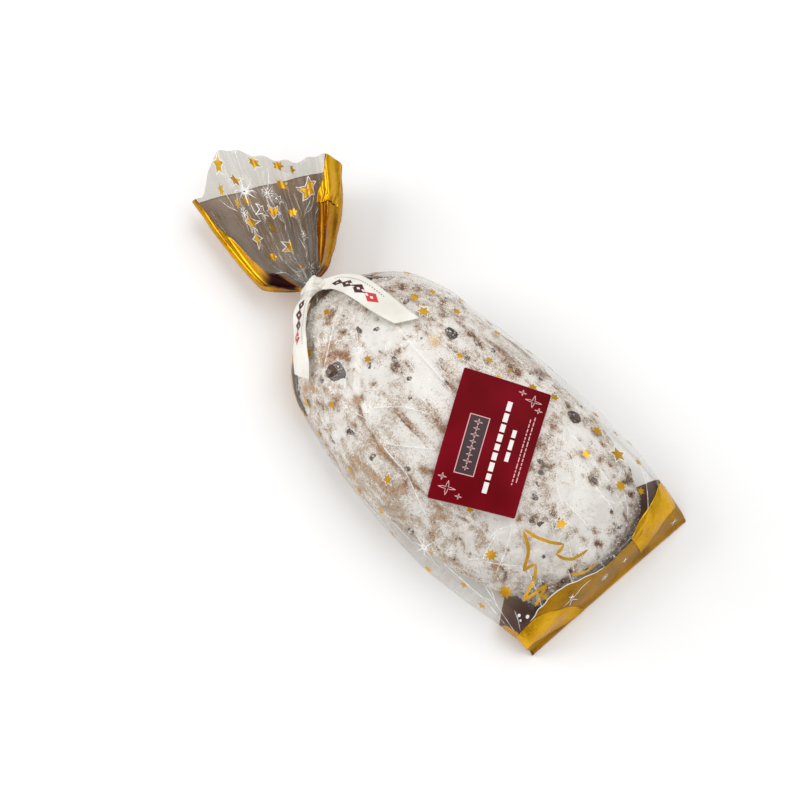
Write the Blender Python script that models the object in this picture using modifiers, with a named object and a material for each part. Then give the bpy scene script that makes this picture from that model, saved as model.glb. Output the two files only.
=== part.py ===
"""A stollen in its tied gift bag, lying on the bag's back panel.

Metres, +Z up. +X runs from the open mouth, past the tie, to the closed bottom end; -Y is the
side with the loaf's fold. The origin is the centre of the whole footprint, on the table.

The bag is a tube of film gathered by a ribbon: a body that hugs the loaf, a round neck under
the tie, and a pleated, open mouth that fans out beyond it. A ring of film is always described
the same way, as a closed loop that starts at the middle of the back panel and runs round
towards +Y, with its points spaced evenly along the film.
"""

import math

import bmesh
import bpy
import numpy as np
from mathutils import Vector

MM = 0.001

# ---- Driving dimensions, in millimetres -------------------------------------------------
# The drawing places the tie's neck near x = -123 and the bottom end at x = +130; this shift
# then puts the origin under the middle of the finished bag.
SHIFT_X = 45.45
SHIFT_Y = 4.46

RING_POINTS = 76  # points round every ring of film
DENSE_POINTS = 720  # points of the exact loop, before it is spaced evenly
FLAT_SINK = 3.0  # how far the section would dip below the table, and is cut flat
WIDEST_AT = 0.2  # height of the section's widest line, as a share of its height

# Stations of the body, from the closed end to the neck:
# x, half width, centre line y, top height, underside height, squareness of the section
BODY_STATIONS = (
    (130.6, 63.2, 0.6, 2.4, 0.0, 3.0),
    (130.0, 63.8, 0.6, 9.0, 0.0, 2.7),
    (128.0, 64.3, 0.5, 22.0, 0.0, 2.3),
    (124.5, 64.8, 0.3, 33.0, 0.0, 2.15),
    (118.0, 65.6, 0.0, 43.5, 0.0, 2.15),
    (104.0, 67.4, -0.6, 54.0, 0.0, 2.3),
    (80.0, 70.4, -2.4, 62.5, 0.0, 2.4),
    (45.0, 72.4, -4.6, 68.0, 0.0, 2.4),
    (10.0, 70.8, -5.4, 70.0, 0.0, 2.4),
    (-30.0, 66.2, -5.6, 69.5, 0.0, 2.4),
    (-62.0, 61.0, -4.6, 68.0, 0.0, 2.4),
    (-86.0, 53.2, -4.6, 65.0, 0.0, 2.4),
    (-98.0, 44.8, -5.2, 60.5, 2.5, 2.3),
    (-108.0, 30.0, -5.8, 52.0, 11.0, 2.15),
    (-115.0, 15.0, -6.6, 41.0, 19.0, 2.0),
    (-119.5, 7.2, -6.9, 36.4, 22.4, 2.0),
    (-123.0, 6.5, -6.9, 35.7, 22.7, 2.0),
)
BODY_RINGS = 32  # rings of film from the closed end to the neck

# The mouth fans out from the neck between the two side hems of the back panel: x, y, z
FAR_HEM = (
    (-126.5, -0.1, 29.2),
    (-127.5, 9.5, 28.0),
    (-133.5, 21.0, 26.5),
    (-140.6, 31.0, 26.0),
    (-149.0, 41.5, 26.0),
    (-159.2, 51.8, 27.0),
    (-171.5, 61.8, 29.0),
)
NEAR_HEM = (
    (-128.2, -12.8, 28.9),
    (-136.0, -20.5, 26.0),
    (-149.0, -28.3, 21.5),
    (-162.5, -27.6, 19.0),
    (-178.0, -26.0, 18.0),
    (-196.0, -23.7, 18.0),
    (-219.0, -19.4, 19.5),
)
# The free edge of the clear front, from the near hem (-1) to the far hem (+1):
# place along the mouth, height above the hems, reach beyond the hems
FRONT_RIM = (
    (-1.0, 0.0, 0.0),
    (-0.87, 0.5, 0.0),
    (-0.73, 22.0, 8.0),
    (-0.52, 28.5, 15.5),
    (-0.22, 23.5, 11.5),
    (0.15, 18.5, 5.0),
    (0.4, 15.5, 2.0),
    (0.76, 11.0, 4.5),
    (1.0, 0.0, 0.0),
)
MOUTH_RINGS = 12
MOUTH_WALL = 1.2  # thickness given to the mouth's film, so that it is a solid
MOUTH_FLOOR = 0.27  # where the open mouth ends, as a share of the way from neck to rim
NECK_RADIUS = 6.45
HEM_RADIUS = 3.3  # radius of the rolled side hems at the rim
PLEATS = 7  # pleats across the clear front
PLEAT_HEIGHT = 2.3
BACK_SAG = 6.0
BACK_REACH = 3.5

GATHERS = 11  # folds that run from the tie over the bag's shoulder
GATHER_DEPTH = 0.9

# The ribbon, knotted on top of the neck
RIBBON_THICK = 0.7
RIBBON_LIFT = 0.9  # least distance from the film to the ribbon's underside
TIE_FROM = (-120.1, -7.0, 29.3)
TIE_TO = (-125.7, -6.7, 29.1)
TIE_INNER_RADIUS = 7.5
TIE_OUTER_RADIUS = 9.3
KNOT_CENTRE = (-120.3, -8.2, 42.0)
KNOT_SIZE = (11.0, 14.0, 9.2)
# Each tail's two edges, from the knot to the cut end: x, y, z of one edge, then the other
FAR_TAIL = (
    (-121.0, -4.5, 42.5, -118.5, -9.5, 41.0),
    (-117.5, 1.2, 45.5, -113.5, -6.0, 45.5),
    (-110.0, 9.0, 52.5, -105.5, -4.3, 54.5),
    (-98.5, 13.3, 59.5, -95.0, -3.2, 62.0),
    (-82.0, 14.6, 65.0, -82.0, -1.8, 67.0),
    (-67.0, 15.4, 67.5, -70.0, 0.4, 69.0),
    (-54.0, 16.6, 68.5, -61.0, 3.2, 69.5),
)
NEAR_TAIL = (
    (-117.5, -11.0, 41.0, -122.0, -11.5, 37.5),
    (-114.3, -18.5, 43.5, -120.8, -21.0, 36.5),
    (-107.8, -25.7, 47.5, -117.0, -28.5, 37.0),
    (-100.0, -32.0, 50.5, -110.5, -34.5, 38.0),
    (-92.0, -38.5, 52.5, -102.5, -41.0, 39.5),
    (-84.0, -45.5, 52.5, -94.5, -47.5, 39.5),
    (-75.5, -53.5, 48.5, -87.5, -54.5, 38.0),
)

# The label, a card of standard business-card size
LABEL_LONG = 85.0
LABEL_SHORT = 55.0
LABEL_THICK = 0.5
LABEL_CENTRE = (32.0, -7.0)
LABEL_TURN = -56.5  # degrees from +X to the long side
LABEL_GAP = 0.5

COLLECTION = "stollen_in_gift_bag"


# ---- Curves and loops of film -----------------------------------------------------------


def smooth_between(where, knots, values):
    """Values of a smooth curve through (knots, values) that doesn't overshoot them."""
    knots = np.asarray(knots, float)
    values = np.asarray(values, float)
    slopes = np.diff(values) / np.diff(knots)
    tangents = np.zeros(len(values))
    for i in range(1, len(values) - 1):
        before, after = slopes[i - 1], slopes[i]
        if before * after > 0:
            tangents[i] = 2 * before * after / (before + after)
    tangents[0], tangents[-1] = slopes[0], slopes[-1]
    i = np.clip(np.searchsorted(knots, where) - 1, 0, len(slopes) - 1)
    step = knots[i + 1] - knots[i]
    t = (where - knots[i]) / step
    return (
        values[i] * (2 * t**3 - 3 * t**2 + 1)
        + tangents[i] * step * (t**3 - 2 * t**2 + t)
        + values[i + 1] * (3 * t**2 - 2 * t**3)
        + tangents[i + 1] * step * (t**3 - t**2)
    )


def point_on(path, share):
    """The point at this share of the way along a list of points, on a smooth curve."""
    path = np.asarray(path, float)
    knots = np.linspace(0, 1, len(path))
    return np.array([smooth_between(share, knots, column) for column in path.T])


def evenly(loop, count):
    """The same closed loop with this many points, evenly spaced along it."""
    closed = np.vstack([loop, loop[:1]])
    length = np.concatenate(
        [[0], np.cumsum(np.linalg.norm(np.diff(closed, axis=0), axis=1))]
    )
    where = np.arange(count) / count * length[-1]
    return np.array([np.interp(where, length, column) for column in closed.T]).T


def signed_power(value, power):
    return np.sign(value) * np.abs(value) ** power


def station_at(x):
    """Half width, centre y, top, underside and squareness of the body's section at x."""
    table = np.array(BODY_STATIONS[::-1])
    return [smooth_between(x, table[:, 0], column) for column in table[:, 1:].T]


def body_loop(x):
    """The film's section round the loaf: a squarish dome, cut flat where it lies down."""
    half, centre, top, under, square = station_at(x)
    angle = np.linspace(0, 2 * math.pi, DENSE_POINTS, endpoint=False) - math.pi / 2
    widest = under + WIDEST_AT * (top - under) + (0.5 - WIDEST_AT) * min(under, 20.0)
    below = widest - under + FLAT_SINK * (under < 0.5)
    y = centre + half * signed_power(np.cos(angle), 2 / square)
    up = signed_power(np.sin(angle), 2 / square)
    z = widest + np.where(up > 0, top - widest, below) * up
    return np.column_stack([np.full_like(y, x), y, np.maximum(z, under)])


def body_ring(x):
    ring = evenly(body_loop(x), RING_POINTS)
    fade = np.clip((-84.0 - x) / 22.0, 0, 1)
    return gathered(ring, GATHER_DEPTH * fade)


def gathered(ring, depth):
    """Presses the gathers of the tie into a ring, inwards only."""
    if depth == 0:
        return ring
    turn = np.arange(len(ring)) / len(ring) * 2 * math.pi
    inwards = ring.mean(axis=0) - ring
    inwards /= np.linalg.norm(inwards, axis=1)[:, None]
    press = depth * (0.5 - 0.5 * np.cos(GATHERS * turn))
    return ring + inwards * press[:, None]


def body_places():
    """Where the body's rings lie: close together on the end wall and on the shoulder."""
    stations = np.array([row[0] for row in BODY_STATIONS])
    share = np.linspace(0, len(stations) - 1, BODY_RINGS)
    return np.interp(share, np.arange(len(stations)), stations)


def hem_outline(half, radius):
    """A flat tube's section, with round hems: places across and heights, from the back's
    middle round towards the far hem."""
    run = max(half - radius, 0.0)
    cap = np.linspace(0, math.pi, DENSE_POINTS // 12)
    line = np.linspace(0, run, DENSE_POINTS // 5)
    across = (line, run + radius * np.sin(cap), line[::-1])
    height = (line * 0 - radius, -radius * np.cos(cap), line * 0 + radius)
    across, height = np.concatenate(across), np.concatenate(height)
    return (
        np.concatenate([across, -across[::-1]]),
        np.concatenate([height, height[::-1]]),
    )


def mouth_loop(share):
    """The film's section in the fan, this share of the way from the neck to the rim."""
    near = point_on(NEAR_HEM, share)
    far = point_on(FAR_HEM, share)
    half = np.linalg.norm(far - near) / 2
    radius = HEM_RADIUS + (NECK_RADIUS - HEM_RADIUS) * (1 - share) ** 4
    across, height = hem_outline(half, radius)
    side = across / half
    upper = height > -0.3 * radius
    spread = share * (1.6 - 0.6 * share)
    places, rises, reaches = np.array(FRONT_RIM).T
    inside = (1 - side**4) * min(share / 0.25, 1.0)
    wave = np.cos(PLEATS * math.pi * (side + 0.1 * side**2))
    front = spread * smooth_between(side, places, rises) + PLEAT_HEIGHT * inside * wave
    back = -BACK_SAG * spread * (1 - side**2)
    back += 0.8 * inside * np.cos(11 * side + 1)
    reach_front = spread * smooth_between(side, places, reaches)
    reach_back = BACK_REACH * spread * (1 - side**2)
    along = (far - near) / (2 * half)
    outward = np.array([-along[1], along[0], 0.0])
    loop = (near + far) / 2 + across[:, None] * along
    loop += outward * np.where(upper, reach_front, reach_back)[:, None]
    loop[:, 2] += height + np.where(upper, front, back)
    return loop


def mouth_ring(share):
    ring = evenly(mouth_loop(share), RING_POINTS)
    return gathered(ring, GATHER_DEPTH * (1 - share) ** 6)


def inset(ring, distance):
    """The ring moved into the bag's inside by this distance, across the film."""
    along = np.roll(ring, -1, axis=0) - np.roll(ring, 1, axis=0)
    axis = np.cross(ring - ring.mean(axis=0), along).sum(axis=0)
    inwards = np.cross(axis, along)
    return ring + distance * inwards / np.linalg.norm(inwards, axis=1)[:, None]


def film_top(x, y):
    """Height of the film above the table at x, y on the bag's body, without gathers."""
    loop = body_loop(x)
    quarter = len(loop) // 4
    upper = loop[quarter : 3 * quarter + 1]
    return float(np.interp(-y, -upper[:, 1], upper[:, 2]))


def off_film(point, gap):
    """The point, pushed out of the body's film until it is at least this far from it."""
    rings = np.array([body_loop(x)[::6] for x in np.linspace(-121, -30, 70)])
    along = np.gradient(rings, axis=0)
    around = np.roll(rings, -1, axis=1) - np.roll(rings, 1, axis=1)
    outwards = np.cross(around, along)
    outwards /= np.linalg.norm(outwards, axis=2)[:, :, None]
    point = np.array(point, float)
    for _ in range(3):
        apart = np.linalg.norm(rings - point, axis=2)
        nearest = np.unravel_index(np.argmin(apart), apart.shape)
        height = (point - rings[nearest]) @ outwards[nearest]
        point += outwards[nearest] * max(gap - height, 0.0)
    return point


# ---- Making objects ---------------------------------------------------------------------


def clear_scene():
    for thing in list(bpy.data.objects):
        bpy.data.objects.remove(thing, do_unlink=True)


def finish(name, colour, roughness, metallic=0.0):
    material = bpy.data.materials.new(name)
    material.use_nodes = True
    shader = material.node_tree.nodes["Principled BSDF"]
    shader.inputs["Base Color"].default_value = (*colour, 1.0)
    shader.inputs["Roughness"].default_value = roughness
    shader.inputs["Metallic"].default_value = metallic
    return material


def placed(point):
    """A point of the drawing, in metres about the finished origin."""
    return (
        (point[0] + SHIFT_X) * MM,
        (point[1] + SHIFT_Y) * MM,
        point[2] * MM,
    )


def object_from(name, mesh, collection, material, smooth_angle=40):
    """Closes a bmesh into an object of the model, with its faces pointing out."""
    bmesh.ops.recalc_face_normals(mesh, faces=mesh.faces)
    data = bpy.data.meshes.new(name)
    mesh.to_mesh(data)
    mesh.free()
    data.materials.append(material)
    data.shade_smooth()
    data.set_sharp_from_angle(angle=math.radians(smooth_angle))
    thing = bpy.data.objects.new(name, data)
    collection.objects.link(thing)
    return thing


def sheet_mesh(rows, columns, place):
    """A grid of rows by columns whose corner (row, column) goes to place(row, column)."""
    mesh = bmesh.new()
    bmesh.ops.create_grid(mesh, x_segments=rows - 1, y_segments=columns - 1, size=0.5)
    for vertex in mesh.verts:
        row = round((vertex.co.x + 0.5) * (rows - 1))
        column = round((vertex.co.y + 0.5) * (columns - 1))
        vertex.co = placed(place(row, column))
    return mesh


def face_up(data):
    """Turns an open sheet's faces so that they look upwards."""
    mesh = bmesh.new()
    mesh.from_mesh(data)
    upwards = sum(face.normal.z * face.calc_area() for face in mesh.faces)
    if upwards < 0:
        bmesh.ops.reverse_faces(mesh, faces=mesh.faces)
    mesh.to_mesh(data)
    mesh.free()


def join(thing, piece):
    """Unites a piece with the object, keeping the piece as a hidden tool."""
    piece.hide_render = True
    piece.display_type = "WIRE"
    union = thing.modifiers.new(piece.name, "BOOLEAN")
    union.operation = "UNION"
    union.solver = "EXACT"
    union.object = piece


def thicken(thing, thickness):
    solidify = thing.modifiers.new("thickness", "SOLIDIFY")
    solidify.thickness = thickness * MM
    solidify.offset = 1.0


# ---- The bag ----------------------------------------------------------------------------


def make_bag(collection):
    """The whole bag as one solid: filled body, neck and hollow, pleated mouth."""
    outside = [body_ring(x) for x in body_places()]
    outside += [mouth_ring(share) for share in np.linspace(0, 1, MOUTH_RINGS)]
    floor_ring = round(MOUTH_FLOOR * (MOUTH_RINGS - 1))
    inside = [
        inset(mouth_ring(share), MOUTH_WALL)
        for share in np.linspace(0, 1, MOUTH_RINGS)[:floor_ring:-1]
    ]
    rings = outside + inside
    mesh = sheet_mesh(
        len(rings),
        RING_POINTS + 1,
        lambda row, column: rings[row][column % RING_POINTS],
    )
    bmesh.ops.remove_doubles(mesh, verts=mesh.verts, dist=0.01 * MM)
    open_edges = [edge for edge in mesh.edges if edge.is_boundary]
    bmesh.ops.holes_fill(mesh, edges=open_edges, sides=0)
    film = finish("printed_film", (0.80, 0.78, 0.74), 0.25)
    return object_from("bag", mesh, collection, film)


# ---- The ribbon -------------------------------------------------------------------------


def tail_mesh(edges):
    """A tail of ribbon that leaves the knot and comes to rest on the film."""
    steps, lanes = 17, 5

    def place(row, column):
        both = point_on(edges, row / (steps - 1))
        lane = column / (lanes - 1)
        return off_film(both[:3] * (1 - lane) + both[3:] * lane, RIBBON_LIFT)

    return sheet_mesh(steps, lanes, place)


def band_mesh():
    """The turns of ribbon round the neck: a rounded strip spun about the tie's axis."""
    start, end = Vector(placed(TIE_FROM)), Vector(placed(TIE_TO))
    axis = (end - start).normalized()
    across = axis.orthogonal().normalized()
    middle = (TIE_INNER_RADIUS + TIE_OUTER_RADIUS) / 2 * MM
    thick = (TIE_OUTER_RADIUS - TIE_INNER_RADIUS) / 2 * MM
    long = (end - start).length / 2
    mesh = bmesh.new()
    strip = []
    for turn in np.arange(8) / 8 * 2 * math.pi:
        along = long * signed_power(math.cos(turn), 0.45)
        out = middle + thick * signed_power(math.sin(turn), 0.45)
        strip.append(mesh.verts.new((start + end) / 2 + axis * along + across * out))
    for first, second in zip(strip, strip[1:] + strip[:1]):
        mesh.edges.new((first, second))
    bmesh.ops.spin(
        mesh,
        geom=mesh.verts[:] + mesh.edges[:],
        cent=(start + end) / 2,
        axis=axis,
        angle=2 * math.pi,
        steps=26,
        use_merge=True,
    )
    return mesh


def knot_mesh():
    """The knot: a rounded lump, pinched where the ribbon crosses itself."""
    mesh = bmesh.new()
    bmesh.ops.create_icosphere(mesh, subdivisions=2, radius=1.0)
    for vertex in mesh.verts:
        x, y, z = vertex.co
        pinch = 1 - 0.13 * math.cos(3 * math.atan2(y, x) + 0.6) - 0.10 * math.exp(-9 * y * y)
        offset = (
            x * pinch * KNOT_SIZE[0] / 2,
            y * pinch * KNOT_SIZE[1] / 2,
            z * KNOT_SIZE[2] / 2,
        )
        vertex.co = placed(off_film(np.add(KNOT_CENTRE, offset), RIBBON_LIFT))
    return mesh


def make_ribbon(collection, tools):
    """One ribbon: the turns round the neck, the knot on top and two tails, joined."""
    cream = finish("cream_ribbon", (0.86, 0.84, 0.77), 0.45)
    ribbon = object_from("ribbon", band_mesh(), collection, cream)
    pieces = [
        object_from("knot", knot_mesh(), tools, cream),
        object_from("far_tail", tail_mesh(FAR_TAIL), tools, cream),
        object_from("near_tail", tail_mesh(NEAR_TAIL), tools, cream),
    ]
    for tail in pieces[1:]:
        face_up(tail.data)
        thicken(tail, RIBBON_THICK)
    for piece in pieces:
        join(ribbon, piece)
    return ribbon


# ---- The label --------------------------------------------------------------------------


def make_label(collection):
    """A card bent to the film along its whole length, a hair above it."""
    rows, columns = 12, 8
    turn = math.radians(LABEL_TURN)
    row_share = np.linspace(-0.5, 0.5, rows) * LABEL_LONG
    column_share = np.linspace(-0.5, 0.5, columns) * LABEL_SHORT
    long, short = np.meshgrid(row_share, column_share, indexing="ij")
    x = LABEL_CENTRE[0] + long * math.cos(turn) - short * math.sin(turn)
    y = LABEL_CENTRE[1] + long * math.sin(turn) + short * math.cos(turn)
    film = np.array([film_top(*spot) for spot in zip(x.flat, y.flat)])
    # A card bends in one direction only: sloping along x, arched along y.
    shape = np.column_stack([np.ones(x.size), x.flat, y.flat, np.square(y).flat])
    card = shape @ np.linalg.lstsq(shape, film, rcond=None)[0]
    card += LABEL_GAP - (card - film).min()
    height = card.reshape(x.shape)
    mesh = sheet_mesh(
        rows, columns, lambda row, column: (x[row, column], y[row, column], height[row, column])
    )
    paper = finish("burgundy_card", (0.30, 0.01, 0.04), 0.4)
    label = object_from("label", mesh, collection, paper)
    face_up(label.data)
    thicken(label, LABEL_THICK)
    return label


def main():
    clear_scene()
    collection = bpy.data.collections.new(COLLECTION)
    bpy.context.scene.collection.children.link(collection)
    tools = bpy.data.collections.new("joined_pieces")
    bpy.context.scene.collection.children.link(tools)
    make_bag(collection)
    make_ribbon(collection, tools)
    make_label(collection)


main()
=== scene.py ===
"""Looks of a stollen in a clear, star-printed gift bag: the film with its gold back, the
sugared loaf with its fruit, the ribbon and the card. Lengths are in millimetres of the
bag's own drawing, until placed() turns them into metres about the finished origin."""

import math

import bmesh
import bpy
import numpy as np
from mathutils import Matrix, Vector
from mathutils.kdtree import KDTree


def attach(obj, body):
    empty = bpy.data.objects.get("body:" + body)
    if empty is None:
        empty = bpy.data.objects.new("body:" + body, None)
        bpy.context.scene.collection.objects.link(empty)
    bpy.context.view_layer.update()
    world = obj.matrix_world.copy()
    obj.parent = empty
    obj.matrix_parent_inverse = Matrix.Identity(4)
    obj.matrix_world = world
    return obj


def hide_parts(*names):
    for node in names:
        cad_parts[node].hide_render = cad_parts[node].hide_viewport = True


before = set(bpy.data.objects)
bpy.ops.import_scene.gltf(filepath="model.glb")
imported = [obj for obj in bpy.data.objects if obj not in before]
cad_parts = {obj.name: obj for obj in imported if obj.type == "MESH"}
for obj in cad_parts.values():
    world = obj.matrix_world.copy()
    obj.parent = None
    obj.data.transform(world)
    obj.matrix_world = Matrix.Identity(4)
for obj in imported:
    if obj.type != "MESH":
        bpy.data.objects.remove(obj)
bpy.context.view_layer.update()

MM = 0.001
SHIFT_X = 45.45
SHIFT_Y = 4.46

# ---- The film's shape -------------------------------------------------------------------

DENSE_POINTS = 720
FLAT_SINK = 3.0
WIDEST_AT = 0.2
BODY_STATIONS = (
    (130.6, 63.2, 0.6, 2.4, 0.0, 3.0),
    (130.0, 63.8, 0.6, 9.0, 0.0, 2.7),
    (128.0, 64.3, 0.5, 22.0, 0.0, 2.3),
    (124.5, 64.8, 0.3, 33.0, 0.0, 2.15),
    (118.0, 65.6, 0.0, 43.5, 0.0, 2.15),
    (104.0, 67.4, -0.6, 54.0, 0.0, 2.3),
    (80.0, 70.4, -2.4, 62.5, 0.0, 2.4),
    (45.0, 72.4, -4.6, 68.0, 0.0, 2.4),
    (10.0, 70.8, -5.4, 70.0, 0.0, 2.4),
    (-30.0, 66.2, -5.6, 69.5, 0.0, 2.4),
    (-62.0, 61.0, -4.6, 68.0, 0.0, 2.4),
    (-86.0, 53.2, -4.6, 65.0, 0.0, 2.4),
    (-98.0, 44.8, -5.2, 60.5, 2.5, 2.3),
    (-108.0, 30.0, -5.8, 52.0, 11.0, 2.15),
    (-115.0, 15.0, -6.6, 41.0, 19.0, 2.0),
    (-119.5, 7.2, -6.9, 36.4, 22.4, 2.0),
    (-123.0, 6.5, -6.9, 35.7, 22.7, 2.0),
)
FAR_HEM = (
    (-126.5, -0.1, 29.2),
    (-127.5, 9.5, 28.0),
    (-133.5, 21.0, 26.5),
    (-140.6, 31.0, 26.0),
    (-149.0, 41.5, 26.0),
    (-159.2, 51.8, 27.0),
    (-171.5, 61.8, 29.0),
)
NEAR_HEM = (
    (-128.2, -12.8, 28.9),
    (-136.0, -20.5, 26.0),
    (-149.0, -28.3, 21.5),
    (-162.5, -27.6, 19.0),
    (-178.0, -26.0, 18.0),
    (-196.0, -23.7, 18.0),
    (-219.0, -19.4, 19.5),
)
# The free edge of the clear front, from the near hem (-1) to the far hem (+1):
# place along the mouth, height above the hems, reach beyond the hems
FRONT_RIM = (
    (-1.0, 0.0, 0.0),
    (-0.87, 0.5, 0.0),
    (-0.73, 22.0, 8.0),
    (-0.52, 28.5, 15.5),
    (-0.22, 23.5, 11.5),
    (0.15, 18.5, 5.0),
    (0.4, 15.5, 2.0),
    (0.76, 11.0, 4.5),
    (1.0, 0.0, 0.0),
)
NECK_RADIUS = 6.45
HEM_RADIUS = 3.3
PLEATS = 7
PLEAT_HEIGHT = 2.3
BACK_SAG = 6.0
BACK_REACH = 3.5

AROUND = 720  # points round a ring of film
BODY_ROWS = 300
MOUTH_ROWS = 130
ROW_STEP = 1.0  # about the distance between two rings on the body, along the film
NOISE_TURN = np.array([(0.60, -0.64, 0.48), (0.80, 0.48, -0.36), (0.0, 0.60, 0.80)])

# Where the gold back's two seams run: -x on the body (200 and more: 200 + 100 x share in
# the mouth), share of the way round of the far seam, and of the near one
GOLD_SEAMS = (
    (-131.0, 0.288, 0.740),
    (-118.0, 0.290, 0.745),
    (-111.0, 0.285, 0.752),
    (-102.0, 0.220, 0.810),
    (-92.0, 0.150, 0.860),
    (40.0, 0.150, 0.860),
    (70.0, 0.180, 0.820),
    (86.0, 0.205, 0.790),
    (100.0, 0.235, 0.762),
    (115.0, 0.285, 0.705),
    (123.0, 0.310, 0.690),
    (200.0, 0.320, 0.690),
    (212.0, 0.318, 0.692),
    (225.0, 0.318, 0.700),
    (250.0, 0.324, 0.738),
    (275.0, 0.312, 0.760),
    (300.0, 0.280, 0.778),
)

# Long creases of the film: (x, share round) of their points, and how sharp they are
CREASES = (
    (((-34, 0.614), (-18, 0.566), (-5, 0.544)), 0.8),
    (((-42, 0.642), (-24, 0.622), (-13, 0.601)), 0.7),
    (((-11, 0.634), (14, 0.577)), 0.6),
    (((-12, 0.640), (6, 0.640), (26, 0.656), (40, 0.672)), 1.0),
    (((79, 0.578), (74, 0.609), (74, 0.633)), 0.9),
    (((79, 0.584), (86, 0.625), (90, 0.665)), 0.9),
    (((86, 0.693), (94, 0.706), (103, 0.722), (117, 0.748)), 1.0),
    (((89, 0.426), (111, 0.426)), 0.8),
    (((86, 0.487), (107, 0.486), (116, 0.458)), 0.7),
    (((74, 0.599), (80, 0.674)), 0.7),
    (((-55, 0.438), (-21, 0.434), (2, 0.411)), 0.5),
    (((-61, 0.476), (-28, 0.482), (-3, 0.489)), 0.4),
    (((-98, 0.511), (-82, 0.589), (-69, 0.652)), 0.6),
    (((-87, 0.512), (-64, 0.560), (-46, 0.606)), 0.5),
    (((49, 0.386), (88, 0.397), (116, 0.407)), 0.6),
    (((60, 0.718), (87, 0.723), (111, 0.752)), 0.9),
    (((-95, 0.45), (-70, 0.40), (-30, 0.365), (20, 0.345), (75, 0.335)), 0.6),
    (((-92, 0.40), (-62, 0.34), (-20, 0.315), (30, 0.30)), 0.5),
    (((-70, 0.70), (-30, 0.72), (20, 0.735), (62, 0.735)), 0.6),
    (((-55, 0.77), (-10, 0.765), (50, 0.775), (95, 0.765)), 0.7),
    (((90, 0.30), (108, 0.33), (121, 0.36)), 0.8),
    (((70, 0.26), (98, 0.275), (118, 0.31)), 0.7),
    (((100, 0.62), (114, 0.645), (124, 0.67)), 0.6),
    (((104, 0.53), (118, 0.56), (126, 0.60)), 0.5),
    (((-40, 0.27), (0, 0.255), (60, 0.25)), 0.5),
)

# ---- Prints on the film -----------------------------------------------------------------

# Gold stars on the body: x, share round, radius, points, turn, and whether outlined white
BODY_STARS = (
    (-88.3, 0.325, 3.4, 6, 0.2, 0),
    (-68.0, 0.401, 3.8, 8, 0.5, 0),
    (-65.6, 0.357, 3.2, 6, 0.9, 0),
    (-57.0, 0.414, 4.6, 6, 0.3, 1),
    (-45.9, 0.358, 4.0, 6, 0.1, 1),
    (-20.1, 0.431, 3.3, 5, 0.7, 1),
    (-7.3, 0.397, 3.0, 6, 0.4, 0),
    (5.6, 0.383, 2.4, 5, 0.1, 0),
    (5.0, 0.411, 2.6, 6, 0.6, 0),
    (22.2, 0.376, 3.6, 6, 0.2, 0),
    (34.5, 0.358, 3.8, 6, 0.8, 1),
    (55.4, 0.303, 3.6, 6, 0.5, 0),
    (65.8, 0.341, 4.2, 8, 0.2, 0),
    (74.4, 0.397, 3.6, 6, 0.9, 0),
    (84.8, 0.342, 6.2, 5, 0.35, 1),
    (100.8, 0.383, 4.4, 8, 0.0, 0),
    (94.1, 0.307, 3.4, 6, 0.3, 0),
    (109.4, 0.349, 3.4, 6, 0.6, 0),
    (96.5, 0.520, 4.6, 5, 0.25, 1),
    (-71.1, 0.731, 4.4, 5, 0.4, 0),
    (-53.9, 0.668, 3.0, 6, 0.1, 0),
    (-53.3, 0.757, 3.2, 5, 0.8, 0),
    (-20.8, 0.733, 3.4, 6, 0.3, 0),
    (3.8, 0.675, 4.0, 6, 0.5, 1),
    (-10.3, 0.760, 3.4, 5, 0.2, 0),
    (9.9, 0.742, 4.2, 5, 0.7, 0),
    (22.2, 0.774, 3.4, 6, 0.6, 0),
    (53.5, 0.769, 3.6, 6, 0.4, 0),
    (78.1, 0.730, 3.6, 5, 0.1, 0),
    (81.2, 0.645, 4.6, 8, 0.2, 0),
    (100.8, 0.684, 5.6, 8, 0.4, 0),
    (54.1, 0.609, 3.0, 5, 0.6, 1),
    (118.5, 0.640, 3.2, 5, 0.9, 0),
)
# The same in the mouth, at shares of the way from neck to rim
MOUTH_STARS = (
    (0.960, 0.627, 5.6, 5, 0.3, 1),
    (0.965, 0.510, 4.6, 6, 0.5, 1),
    (0.975, 0.434, 4.4, 6, 0.2, 0),
    (0.955, 0.389, 4.0, 5, 0.8, 0),
    (0.855, 0.595, 4.6, 5, 0.6, 1),
    (0.893, 0.665, 4.2, 6, 0.1, 0),
    (0.830, 0.353, 7.8, 5, 0.42, 1),
    (0.868, 0.442, 4.8, 6, 0.3, 0),
    (0.736, 0.590, 3.4, 5, 0.4, 0),
    (0.755, 0.635, 3.6, 6, 0.7, 0),
    (0.604, 0.618, 6.0, 5, 0.15, 1),
    (0.679, 0.509, 4.2, 5, 0.9, 1),
    (0.560, 0.534, 4.2, 5, 0.5, 0),
    (0.497, 0.635, 5.4, 5, 0.35, 1),
    (0.409, 0.502, 5.2, 5, 0.1, 1),
    (0.352, 0.616, 3.4, 6, 0.2, 0),
    (0.239, 0.491, 3.6, 5, 0.6, 0),
    (0.686, 0.434, 3.8, 6, 0.8, 0),
)
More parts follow.
